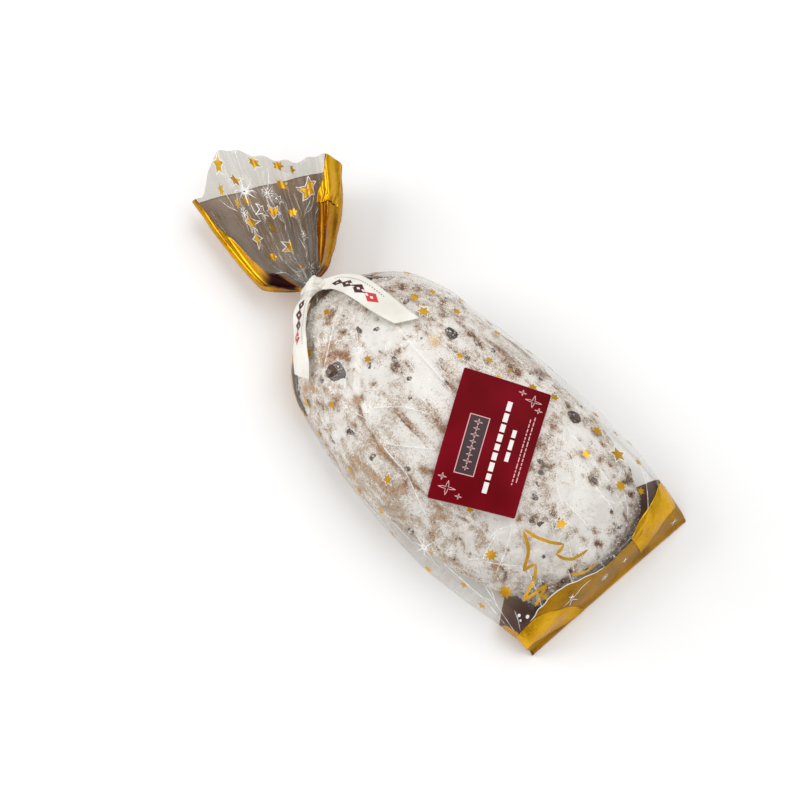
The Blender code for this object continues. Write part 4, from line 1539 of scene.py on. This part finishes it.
def card_surface():
    """Maps mm along and across the card's middle, and a lift, onto the bent card."""
    turn = math.radians(LABEL_TURN)

    def flat(long, short):
        x = LABEL_CENTRE[0] + long * math.cos(turn) - short * math.sin(turn)
        y = LABEL_CENTRE[1] + long * math.sin(turn) + short * math.cos(turn)
        return x, y

    long, short = np.meshgrid(
        np.linspace(-0.5, 0.5, 12) * LABEL_LONG,
        np.linspace(-0.5, 0.5, 8) * LABEL_SHORT,
        indexing="ij",
    )
    x, y = flat(long, short)
    film = np.array([film_top(*spot) for spot in zip(x.flat, y.flat)])
    shape = np.column_stack([np.ones(x.size), x.flat, y.flat, np.square(y).flat])
    fit = np.linalg.lstsq(shape, film, rcond=None)[0]
    fit[2] += 2 * LABEL_CENTRE[1] * fit[3] * (1 - LABEL_BEND)
    fit[3] *= LABEL_BEND
    fit[0] += LABEL_GAP - (shape @ fit - film).min()

    def surface(long, short, lift=0.0):
        x, y = flat(np.asarray(long, float), np.asarray(short, float))
        z = fit[0] + fit[1] * x + fit[2] * y + fit[3] * y * y + lift
        return np.column_stack([x, y, z])

    return surface


def rounded(value, half, other, other_half, radius):
    """Draws a rectangle's corner in, so that it is round."""
    over = np.clip(np.abs(other) - (other_half - radius), 0, radius) / radius
    shrink = radius * (1 - np.sqrt(np.maximum(0, 1 - over**2)))
    return np.clip(value, -half + shrink, half - shrink)


def make_card(paper, edge_paper):
    surface = card_surface()
    rows, columns = 86, 56

    def spot(row, column):
        long = (row / (rows - 1) - 0.5) * LABEL_LONG
        short = (column / (columns - 1) - 0.5) * LABEL_SHORT
        long = rounded(long, LABEL_LONG / 2, short, LABEL_SHORT / 2, CORNER)
        return long, short

    mesh = sheet(
        rows,
        columns,
        lambda row, column: surface(*spot(row, column), LABEL_THICK),
        upwards,
        lambda row, column: {
            "edge": np.minimum(
                LABEL_LONG / 2 - np.abs(spot(row, column)[0]),
                LABEL_SHORT / 2 - np.abs(spot(row, column)[1]),
            )
        },
    )
    card = piece("card", mesh, [paper, edge_paper], "label", sharp=None)
    solidify(card, LABEL_THICK, -1.0, rim=1, inner=1)
    return surface


def card_line(mesh, surface, points, width, lift, closed=False):
    """A printed line through these points of the card."""
    points = np.array(points, float)
    if closed:
        points = np.vstack([points, points[:1]])
    for start, end in zip(points[:-1], points[1:]):
        way = end - start
        length = np.linalg.norm(way)
        way /= length
        side = np.array([-way[1], way[0]]) * width / 2
        start = start - way * width / 2
        count = max(2, int(length / 3) + 2)
        share = np.linspace(0, 1, count)[:, None]
        middle = start * (1 - share) + (end + way * width / 2) * share
        rails = [
            [mesh.verts.new(p) for p in placed(surface(*(middle + s * side).T, lift))]
            for s in (1, -1)
        ]
        for k in range(count - 1):
            mesh.faces.new((rails[0][k], rails[0][k + 1], rails[1][k + 1], rails[1][k]))


def card_block(mesh, surface, centre, long, short, lift):
    """A printed rectangle on the card."""
    if short > 4:
        lanes = 8
        for lane in range(lanes):
            place = centre[1] + (lane + 0.5 - lanes / 2) * short / lanes
            strip = (centre[0], place)
            card_block(mesh, surface, strip, long, short / lanes + 0.002, lift)
        return
    card_line(
        mesh,
        surface,
        [(centre[0] - long / 2 + short / 2, centre[1]), (centre[0] + long / 2 - short / 2, centre[1])],
        short,
        lift,
    )


def card_star(mesh, surface, centre, radius, width, lift):
    """The outline of a four-pointed sparkle with hollow sides."""
    corners = []
    for k in range(4):
        angle = k * math.pi / 2
        for step in np.linspace(0, 1, 7)[:-1]:
            turn = angle + step * math.pi / 2
            reach = radius * (0.20 + 0.80 * abs(2 * step - 1) ** 2.2)
            corners.append(
                (centre[0] + reach * math.cos(turn), centre[1] + reach * 1.25 * math.sin(turn))
            )
    card_line(mesh, surface, corners, width, lift, closed=True)


def card_prints(card, dark, pink, white):
    def surface(long, short, lift):
        return card(-np.asarray(long), -np.asarray(short), lift)

    base = LABEL_THICK
    plaque, rose, pale = bmesh.new(), bmesh.new(), bmesh.new()
    # A dark plaque with a stitched row of small crosses
    card_block(plaque, surface, (-4.5, 9.5), 36.0, 10.6, base + 0.05)
    border = [(-23.0, 3.6), (14.0, 3.6), (14.0, 15.4), (-23.0, 15.4)]
    card_line(rose, surface, border, 0.55, base + 0.09, closed=True)
    for k in range(8):
        card_star(rose, surface, (-19.0 + 4.15 * k, 9.5), 1.5 + 0.5 * (k % 2), 0.36, base + 0.11)
    # Plain rows where a printed card has its title
    random = np.random.default_rng(17)
    along = -31.0
    while along < 29.0:
        word = random.uniform(3.2, 7.5)
        card_block(pale, surface, (along + word / 2, -5.2), word, 3.0, base + 0.06)
        along += word + 1.5
    for along, word in ((-9.0, 6.0), (-1.5, 6.5), (6.5, 5.0)):
        card_block(pale, surface, (along + word / 2, -12.6), word, 2.5, base + 0.06)
    for row, (start, end) in enumerate(((-22.0, 20.0), (-20.0, 22.0))):
        along = start
        while along < end:
            word = random.uniform(1.2, 3.6)
            place = (along + word / 2, -19.6 - 2.3 * row)
            card_block(rose, surface, place, word, 0.62, base + 0.06)
            along += word + 0.8
    for centre, radius in (
        ((-33.0, 17.0), 4.2),
        ((-27.0, 21.5), 2.0),
        ((-36.5, 9.0), 1.6),
        ((33.0, -18.0), 4.0),
        ((28.0, -22.5), 1.8),
        ((36.5, -10.5), 1.8),
    ):
        card_star(rose, surface, centre, radius, 0.4, base + 0.07)
    for mesh, name, ink in (
        (plaque, "card_plaque", dark),
        (rose, "card_ornaments", pink),
        (pale, "card_rows", white),
    ):
        for face in mesh.faces:
            face.normal_update()
            if face.normal.z < 0:
                face.normal_flip()
        piece(name, mesh, ink, "label", sharp=None)


# ---- Materials --------------------------------------------------------------------------


def srgb(red, green, blue):
    """A colour given in display values from 0 to 255."""
    channels = np.array([red, green, blue]) / 255
    low, high = channels / 12.92, ((channels + 0.055) / 1.055) ** 2.4
    return (*np.where(channels <= 0.04045, low, high), 1.0)


def node(tree, kind, inputs=None, **settings):
    made = tree.nodes.new(kind)
    for name, value in settings.items():
        setattr(made, name, value)
    for name, value in (inputs or {}).items():
        socket = made.inputs[name]
        if isinstance(value, bpy.types.NodeSocket):
            tree.links.new(value, socket)
        else:
            socket.default_value = value
    return made


def new_material(name, roughness=0.5, metallic=0.0, **inputs):
    """A material with one Principled BSDF whose steady values are on its own sockets."""
    material = bpy.data.materials.new(name)
    material.use_nodes = True
    tree = material.node_tree
    shader = tree.nodes["Principled BSDF"]
    shader.inputs["Roughness"].default_value = roughness
    shader.inputs["Metallic"].default_value = metallic
    for socket, value in inputs.items():
        shader.inputs[socket.replace("_", " ")].default_value = value
    return material, tree, shader


def object_place(tree):
    return node(tree, "ShaderNodeTexCoord").outputs["Object"]


def noise(tree, place, scale, detail=3.0, rough=0.6):
    made = node(
        tree,
        "ShaderNodeTexNoise",
        {"Vector": place, "Scale": scale, "Detail": detail, "Roughness": rough},
    )
    return made.outputs["Fac"]


def value_map(tree, value, low, high, to_low=0.0, to_high=1.0, smooth=True):
    made = node(
        tree,
        "ShaderNodeMapRange",
        {"Value": value, "From Min": low, "From Max": high, "To Min": to_low, "To Max": to_high},
        interpolation_type="SMOOTHSTEP" if smooth else "LINEAR",
    )
    return made.outputs["Result"]


def mix(tree, share, first, second, blend="MIX"):
    made = node(tree, "ShaderNodeMix", data_type="RGBA", blend_type=blend)
    for index, value in ((0, share), (6, first), (7, second)):
        socket = made.inputs[index]
        if isinstance(value, bpy.types.NodeSocket):
            tree.links.new(value, socket)
        else:
            socket.default_value = value
    return made.outputs[2]


def maths(tree, how, first, second):
    made = node(tree, "ShaderNodeMath", operation=how)
    for index, value in ((0, first), (1, second)):
        if isinstance(value, bpy.types.NodeSocket):
            tree.links.new(value, made.inputs[index])
        else:
            made.inputs[index].default_value = value
    return made.outputs[0]


def attribute(tree, name):
    return node(tree, "ShaderNodeAttribute", attribute_name=name).outputs["Fac"]


def bump(tree, shader, height, strength, distance):
    made = node(
        tree,
        "ShaderNodeBump",
        {"Height": height, "Strength": strength, "Distance": distance},
    )
    tree.links.new(made.outputs["Normal"], shader.inputs["Normal"])
    return made


def sugar_dust_group():
    """Icing sugar over a surface: a mask of where it lies and a height, from how much of
    it there is."""
    group = bpy.data.node_groups.new("icing_sugar", "ShaderNodeTree")
    for name, kind, way in (
        ("Place", "NodeSocketVector", "INPUT"),
        ("Amount", "NodeSocketFloat", "INPUT"),
        ("Mask", "NodeSocketFloat", "OUTPUT"),
        ("Thin", "NodeSocketFloat", "OUTPUT"),
        ("Height", "NodeSocketFloat", "OUTPUT"),
    ):
        group.interface.new_socket(name, in_out=way, socket_type=kind)
    start = group.nodes.new("NodeGroupInput")
    end = group.nodes.new("NodeGroupOutput")
    place, amount = start.outputs["Place"], start.outputs["Amount"]
    grain = noise(group, place, 1150.0, 2.0, 0.7)
    clots = noise(group, place, 430.0, 4.0, 0.7)
    drifts = noise(group, place, 150.0, 3.0, 0.6)
    level = maths(group, "MULTIPLY_ADD", grain, 1.6)
    level.node.inputs[2].default_value = -0.80
    level = maths(group, "ADD", level, amount)
    spread = maths(group, "MULTIPLY_ADD", clots, 1.3)
    spread.node.inputs[2].default_value = -0.65
    level = maths(group, "ADD", level, spread)
    sweep = maths(group, "MULTIPLY_ADD", drifts, 0.6)
    sweep.node.inputs[2].default_value = -0.30
    level = maths(group, "ADD", level, sweep)
    mask = value_map(group, level, 0.16, 0.46)
    thin = value_map(group, level, 0.38, 0.98)
    height = maths(group, "ADD", mask, maths(group, "MULTIPLY", grain, 0.5))
    group.links.new(mask, end.inputs["Mask"])
    group.links.new(thin, end.inputs["Thin"])
    group.links.new(height, end.inputs["Height"])
    return group


def sugared(tree, group, amount):
    dust = node(tree, "ShaderNodeGroup", node_tree=group)
    tree.links.new(object_place(tree), dust.inputs["Place"])
    tree.links.new(amount, dust.inputs["Amount"])
    return dust.outputs["Mask"], dust.outputs["Thin"], dust.outputs["Height"]


def crust_material(group):
    material, tree, shader = new_material("sugared_crust", roughness=0.85)
    place = object_place(tree)
    mask, thin, height = sugared(tree, group, attribute(tree, "sugar"))
    brown = attribute(tree, "brown")
    blotch = noise(tree, place, 210.0, 4.0, 0.65)
    tone = maths(tree, "ADD", brown, maths(tree, "MULTIPLY_ADD", blotch, 0.9))
    tone.node.inputs[1].links[0].from_node.inputs[2].default_value = -0.45
    dark, baked, tan = srgb(94, 66, 52), srgb(172, 118, 80), srgb(214, 168, 116)
    crust = mix(tree, value_map(tree, tone, 0.05, 0.50), dark, baked)
    crust = mix(tree, value_map(tree, tone, 0.50, 0.95), crust, tan)
    fleck = value_map(tree, noise(tree, place, 620.0, 3.0, 0.7), 0.36, 0.64)
    crust = mix(tree, 0.55, crust, mix(tree, fleck, srgb(156, 122, 98), srgb(255, 244, 230)), "MULTIPLY")
    dull, bright = srgb(200, 182, 164), srgb(247, 244, 240)
    sugar = mix(tree, thin, dull, bright)
    shade = value_map(tree, noise(tree, place, 75.0, 2.0, 0.5), 0.35, 0.65)
    sugar = mix(tree, shade, sugar, srgb(246, 245, 244), "MULTIPLY")
    tree.links.new(mix(tree, mask, crust, sugar), shader.inputs["Base Color"])
    rough = value_map(tree, mask, 0.0, 1.0, 0.55, 0.95)
    tree.links.new(rough, shader.inputs["Roughness"])
    crumb = noise(tree, place, 700.0, 3.0, 0.7)
    relief = maths(tree, "ADD", height, maths(tree, "MULTIPLY", crumb, 0.6))
    bump(tree, shader, relief, 0.55, 0.0006)
    return material


def raisin_material(group):
    material, tree, shader = new_material("raisin_skin", roughness=0.45)
    place = object_place(tree)
    mask, thin, height = sugared(tree, group, attribute(tree, "sugar"))
    patches = value_map(tree, noise(tree, place, 260.0, 3.0, 0.6), 0.35, 0.68)
    skin = mix(tree, patches, srgb(32, 22, 16), srgb(92, 56, 38))
    bloom = value_map(tree, noise(tree, place, 700.0, 3.0, 0.7), 0.50, 0.75, 0.0, 0.28)
    skin = mix(tree, bloom, skin, srgb(128, 112, 100))
    white = mix(tree, thin, srgb(196, 190, 186), srgb(240, 239, 236))
    tree.links.new(mix(tree, mask, skin, white), shader.inputs["Base Color"])
    tree.links.new(value_map(tree, mask, 0, 1, 0.5, 0.9), shader.inputs["Roughness"])
    bump(tree, shader, maths(tree, "ADD", height, noise(tree, place, 900.0)), 0.25, 0.0003)
    return material


def crumb_material():
    material, tree, shader = new_material("sugar_clumps", roughness=0.95)
    place = object_place(tree)
    grain = noise(tree, place, 900.0, 2.0, 0.6)
    brown = mix(tree, grain, srgb(84, 60, 44), srgb(178, 140, 104))
    white = mix(tree, grain, srgb(226, 222, 216), srgb(252, 251, 249))
    share = value_map(tree, attribute(tree, "sugar"), 0.3, 0.7)
    tree.links.new(mix(tree, share, brown, white), shader.inputs["Base Color"])
    bump(tree, shader, grain, 0.4, 0.0003)
    return material


def clear_film_material(name, clear_colour, haze_low, haze_high):
    """Thin clear film: what it doesn't reflect passes through, and its creases turn
    white, a painted highlight that is partly the film's real stress whitening."""
    material, tree, shader = new_material(name, roughness=0.35)
    place = object_place(tree)
    crease = attribute(tree, "crease")
    cloud = value_map(tree, noise(tree, place, 26.0, 3.0, 0.55), 0.42, 0.70)
    tree.links.new(
        mix(tree, cloud, srgb(232, 232, 228), srgb(248, 248, 246)), shader.inputs["Base Color"]
    )
    fine = noise(tree, place, 340.0, 2.0, 0.5)
    ripples = noise(tree, place, 90.0, 2.0, 0.5)
    relief = maths(tree, "ADD", ripples, maths(tree, "MULTIPLY", fine, 0.25))
    bumps = bump(tree, shader, relief, 0.35, 0.0005)
    clear = node(tree, "ShaderNodeBsdfTransparent", {"Color": clear_colour})
    gloss = node(
        tree,
        "ShaderNodeBsdfGlossy",
        {"Color": srgb(255, 255, 255), "Roughness": 0.09, "Normal": bumps.outputs["Normal"]},
    )
    fresnel = node(tree, "ShaderNodeFresnel", {"IOR": 1.55, "Normal": bumps.outputs["Normal"]})
    shine = maths(tree, "MINIMUM", maths(tree, "MULTIPLY", fresnel.outputs[0], 0.6), 0.28)
    film = node(tree, "ShaderNodeMixShader", {0: shine, 1: clear.outputs[0], 2: gloss.outputs[0]})
    haze = value_map(tree, cloud, 0, 1, haze_low, haze_high)
    # Painted highlight: the creases' whiteness is added to the milky haze.
    haze = maths(tree, "ADD", haze, maths(tree, "MULTIPLY", crease, 0.32))
    milky = node(
        tree, "ShaderNodeMixShader", {0: haze, 1: film.outputs[0], 2: shader.outputs[0]}
    )
    tree.links.new(milky.outputs[0], tree.nodes["Material Output"].inputs["Surface"])
    return material


def glint_material():
    """Painted highlights on the crests of creases: milky film that lets some of what is under it through, partly
    the film's real stress whitening.
    """
    material, tree, shader = new_material("crease_glint", roughness=0.25)
    cloud = noise(tree, object_place(tree), 300.0, 2.0, 0.6)
    tree.links.new(mix(tree, cloud, srgb(240, 240, 238), srgb(255, 255, 254)), shader.inputs["Base Color"])
    clear = node(tree, "ShaderNodeBsdfTransparent", {"Color": srgb(253, 253, 252)})
    cover = value_map(tree, cloud, 0.35, 0.65, 0.35, 0.85)
    blend = node(tree, "ShaderNodeMixShader", {0: cover, 1: clear.outputs[0], 2: shader.outputs[0]})
    tree.links.new(blend.outputs[0], tree.nodes["Material Output"].inputs["Surface"])
    return material


def foil_grain_group():
    """Fine streaks and slow waves of printed metallic film: a shade and a height."""
    group = bpy.data.node_groups.new("foil_grain", "ShaderNodeTree")
    for name, kind, way in (
        ("Place", "NodeSocketVector", "INPUT"),
        ("Shade", "NodeSocketFloat", "OUTPUT"),
        ("Height", "NodeSocketFloat", "OUTPUT"),
    ):
        group.interface.new_socket(name, in_out=way, socket_type=kind)
    start = group.nodes.new("NodeGroupInput")
    end = group.nodes.new("NodeGroupOutput")
    place = start.outputs["Place"]
    stretched = node(group, "ShaderNodeMapping", {"Vector": place, "Scale": (0.25, 1.0, 1.0)})
    streak = noise(group, stretched.outputs[0], 900.0, 2.0, 0.6)
    wave = noise(group, place, 70.0, 3.0, 0.5)
    shade = maths(group, "ADD", maths(group, "MULTIPLY", streak, 0.35), maths(group, "MULTIPLY", wave, 0.65))
    group.links.new(shade, end.inputs["Shade"])
    height = maths(group, "ADD", maths(group, "MULTIPLY", wave, 1.0), maths(group, "MULTIPLY", streak, 0.08))
    group.links.new(height, end.inputs["Height"])
    return group


def foil(tree, group):
    grain = node(tree, "ShaderNodeGroup", node_tree=group)
    tree.links.new(object_place(tree), grain.inputs["Place"])
    return grain.outputs["Shade"], grain.outputs["Height"]


def gold_material(name, group, dark, light, roughness, metallic, waves=0.4, folds=None, **more):
    material, tree, shader = new_material(name, roughness=roughness, metallic=metallic, **more)
    shade, height = foil(tree, group)
    colour = mix(tree, value_map(tree, shade, 0.3, 0.7), dark, light)
    # Painted shade: darker colours in the folds and in the closed end's corners, and a painted shadow in the
    # pocket by the neck.
    if folds:
        colour = mix(tree, attribute(tree, "deep"), colour, folds[0])
        colour = mix(tree, attribute(tree, "corner"), colour, folds[1])
        colour = mix(tree, attribute(tree, "pocket"), colour, srgb(38, 6, 8))
    tree.links.new(colour, shader.inputs["Base Color"])
    tree.links.new(
        value_map(tree, shade, 0.3, 0.7, roughness - 0.07, roughness + 0.09),
        shader.inputs["Roughness"],
    )
    bump(tree, shader, height, waves, 0.0008)
    return material


def ink_material(name, group, dark, light, roughness, metallic=0.0):
    """Print on film: slightly uneven ink with a faint relief."""
    material, tree, shader = new_material(name, roughness=roughness, metallic=metallic)
    shade, height = foil(tree, group)
    tree.links.new(
        mix(tree, value_map(tree, shade, 0.3, 0.7), dark, light), shader.inputs["Base Color"]
    )
    bump(tree, shader, height, 0.25, 0.0004)
    return material


def satin_material():
    """Woven satin ribbon: fine ribs across it, a thicker woven edge and a soft sheen."""
    material, tree, shader = new_material(
        "cream_satin", roughness=0.42, Sheen_Weight=0.25, Sheen_Roughness=0.4
    )
    place = object_place(tree)
    lane = attribute(tree, "lane")
    ribs = node(tree, "ShaderNodeTexNoise", noise_dimensions="1D")
    tree.links.new(maths(tree, "MULTIPLY", lane, 70.0), ribs.inputs["W"])
    cloth = noise(tree, place, 1300.0, 2.0, 0.6)
    slow = value_map(tree, noise(tree, place, 60.0, 2.0, 0.5), 0.3, 0.7)
    colour = mix(tree, slow, srgb(230, 226, 215), srgb(243, 241, 233))
    thread = value_map(tree, ribs.outputs["Fac"], 0.3, 0.7, 0.0, 0.14)
    colour = mix(tree, thread, colour, srgb(205, 198, 180))
    hem = value_map(tree, attribute(tree, "edge"), 0.90, 0.97, 0.0, 0.25)
    colour = mix(tree, hem, colour, srgb(212, 204, 184))
    tree.links.new(colour, shader.inputs["Base Color"])
    relief = maths(tree, "ADD", ribs.outputs["Fac"], maths(tree, "MULTIPLY", cloth, 0.7))
    bump(tree, shader, relief, 0.35, 0.00018)
    return material


def card_material():
    """Coated burgundy board, a little worn and pale along its cut edges."""
    material, tree, shader = new_material("burgundy_board", roughness=0.5, Specular_IOR_Level=0.06)
    place = object_place(tree)
    fibre = noise(tree, place, 1500.0, 2.0, 0.6)
    slow = value_map(tree, noise(tree, place, 28.0, 2.0, 0.5), 0.3, 0.7)
    colour = mix(tree, slow, srgb(102, 0, 10), srgb(122, 4, 24))
    edge = maths(tree, "ADD", attribute(tree, "edge"), maths(tree, "MULTIPLY", fibre, 0.5))
    colour = mix(tree, value_map(tree, edge, 0.55, 0.30, 0.0, 0.65), colour, srgb(206, 150, 150))
    tree.links.new(colour, shader.inputs["Base Color"])
    tree.links.new(value_map(tree, fibre, 0.3, 0.7, 0.44, 0.56), shader.inputs["Roughness"])
    bump(tree, shader, fibre, 0.15, 0.0001)
    return material


def paper_material(name, dark, light, roughness):
    material, tree, shader = new_material(name, roughness=roughness)
    fibre = noise(tree, object_place(tree), 1100.0, 3.0, 0.6)
    tree.links.new(mix(tree, fibre, dark, light), shader.inputs["Base Color"])
    bump(tree, shader, fibre, 0.12, 0.0001)
    return material


# ---- The whole --------------------------------------------------------------------------

FILM_RINGS, BODY_X, MOUTH_SHARE = film_grid()
GIRTH = ring_lengths(FILM_RINGS)
NORMALS = film_normals(FILM_RINGS)
_top_line = FILM_RINGS[:, AROUND // 2]
STEPS = np.linalg.norm(np.gradient(_top_line, axis=0), axis=1)
PRESS, CREASE_WHITE_AND_GLINT = wrinkles()
FILM = FILM_RINGS - NORMALS * PRESS[:, :, None]

foil_grain = foil_grain_group()
icing_sugar = sugar_dust_group()
clear_film = clear_film_material("clear_film", srgb(253, 253, 252), 0.003, 0.02)
mouth_film = clear_film_material("clear_mouth_film", srgb(214, 211, 204), 0.03, 0.07)
# The last pair of colours given to the back's gold and to its taupe inside is painted shade, for its folds and
# for the closed end's corners.
gold_outside = gold_material(
    "gold_foil", foil_grain, srgb(172, 116, 8), srgb(226, 170, 24), 0.28, 0.94, 0.5,
    (srgb(112, 58, 18), srgb(196, 142, 34)),
)
taupe_inside = gold_material(
    "foil_inside", foil_grain, srgb(150, 122, 98), srgb(176, 148, 122), 0.42, 0.35, 0.4,
    (srgb(118, 92, 72), srgb(104, 60, 34)),
)
# Lit and shaded copies of the foil: the corner flaps get a brighter gold as painted light from above, the end
# band a darker gold as painted shade.
lit_gold_flap = gold_material(
    "lit_gold_flap", foil_grain, srgb(196, 140, 14), srgb(232, 180, 30), 0.32, 0.92, 0.5
)
shaded_gold_band = gold_material(
    "shaded_gold_band", foil_grain, srgb(132, 92, 6), srgb(186, 136, 18), 0.36, 0.92, 0.7
)
gold_ink = ink_material("gold_ink", foil_grain, srgb(190, 134, 18), srgb(222, 172, 44), 0.34, 0.6)
white_ink = ink_material("white_ink", foil_grain, srgb(238, 238, 234), srgb(250, 250, 248), 0.45)
maroon_ink = ink_material("maroon_ink", foil_grain, srgb(70, 24, 28), srgb(88, 34, 38), 0.5)
red_ink = ink_material("red_ink", foil_grain, srgb(190, 40, 48), srgb(208, 58, 64), 0.5)
satin = satin_material()
board = card_material()
board_edge = paper_material("board_core", srgb(196, 150, 146), srgb(224, 196, 190), 0.8)
plaque_ink = paper_material("plaque_ink", srgb(40, 22, 26), srgb(56, 32, 36), 0.5)
pink_ink = paper_material("rose_ink", srgb(214, 160, 160), srgb(228, 184, 182), 0.45)
pale_ink = paper_material("pale_ink", srgb(232, 222, 218), srgb(244, 238, 234), 0.45)

film_piece("film_body", 0.0, BODY_ROWS - 1.0, 296, 332, clear_film)
film_piece("film_mouth", BODY_ROWS - 1.0, BODY_ROWS + MOUTH_ROWS - 1.0, 180, 340, mouth_film)
gold_back([gold_outside, taupe_inside])
end_seam(gold_outside)
end_print(shaded_gold_band, white_ink)
corner_flap("near_corner_flap", NEAR_FLAP, lit_gold_flap, 0.35, 0.95)
corner_flap("far_corner_flap", FAR_FLAP, lit_gold_flap, 0.35, 0.95)
corner_flap("rim_fold", RIM_FOLD, lit_gold_flap, 0.35, 1.0, row_of_share)
film_creases(glint_material())
film_prints(gold_ink, white_ink)

LOAF, SUGAR = make_loaf(crust_material(icing_sugar))
make_fruit(LOAF, raisin_material(icing_sugar))
make_crumbs(LOAF, SUGAR, crumb_material())

make_band(satin)
make_knot(satin)
make_tail("far_tail", FAR_TAIL, satin, (maroon_ink, red_ink))
make_tail("near_tail", NEAR_TAIL, satin, (maroon_ink, red_ink))

card = make_card(board, board_edge)
card_prints(card, plaque_ink, pink_ink, pale_ink)


# ---- Floor, light and camera ------------------------------------------------------------


def area_light(name, place, aim, size, power, colour=(1.0, 1.0, 1.0)):
    light = bpy.data.lights.new(name, "AREA")
    light.shape = "RECTANGLE"
    light.size, light.size_y = size
    light.energy = power
    light.color = colour
    lamp = bpy.data.objects.new(name, light)
    lamp.location = place
    lamp.rotation_euler = (Vector(aim) - Vector(place)).to_track_quat("-Z", "Y").to_euler()
    bpy.context.scene.collection.objects.link(lamp)


def make_floor():
    mesh = bmesh.new()
    bmesh.ops.create_grid(mesh, x_segments=24, y_segments=24, size=3.0)
    data = bpy.data.meshes.new("floor")
    mesh.to_mesh(data)
    mesh.free()
    material, tree, shader = new_material("pale_floor", roughness=0.75)
    grain = noise(tree, object_place(tree), 40.0, 3.0, 0.5)
    tree.links.new(
        mix(tree, grain, srgb(250, 250, 250), srgb(253, 253, 253)), shader.inputs["Base Color"]
    )
    data.materials.append(material)
    floor = bpy.data.objects.new("floor", data)
    floor.location.z = -0.0002
    bpy.context.scene.collection.objects.link(floor)


def make_world():
    world = bpy.data.worlds.new("studio")
    world.use_nodes = True
    world.node_tree.nodes["Background"].inputs["Color"].default_value = (1.0, 1.0, 1.0, 1.0)
    world.node_tree.nodes["Background"].inputs["Strength"].default_value = 0.42
    bpy.context.scene.world = world


def make_camera():
    data = bpy.data.cameras.new("camera")
    data.lens = LENS
    data.clip_start, data.clip_end = 0.05, 20.0
    camera = bpy.data.objects.new("camera", data)
    turn, rise = math.radians(VIEW_TURN), math.radians(VIEW_RISE)
    back = Vector(
        (math.sin(turn) * math.cos(rise), -math.cos(turn) * math.cos(rise), math.sin(rise))
    )
    camera.location = Vector(VIEW_AIM) + back * VIEW_DISTANCE
    camera.rotation_euler = (-back).to_track_quat("-Z", "Y").to_euler()
    bpy.context.scene.collection.objects.link(camera)
    bpy.context.scene.camera = camera


VIEW_TURN, VIEW_RISE = 47.3, 68.0
VIEW_AIM = (0.0109, -0.0127, 0.030)
LENS = 300.0
VIEW_DISTANCE = 4.0

make_floor()
make_world()
make_camera()
area_light("overhead", (0.15, 0.62, 1.25), (0.0, 0.0, 0.03), (1.7, 1.2), 11.4)
area_light("window", (-0.95, -0.75, 0.8), (0.0, 0.0, 0.03), (0.9, 0.9), 9.5)
area_light("fill", (0.95, -0.9, 0.8), (0.0, 0.0, 0.03), (1.0, 0.8), 3.5)

scene = bpy.context.scene
scene.view_settings.view_transform = "Standard"
scene.view_settings.look = "None"
scene.view_settings.exposure = 0.0

bpy.context.view_layer.update()
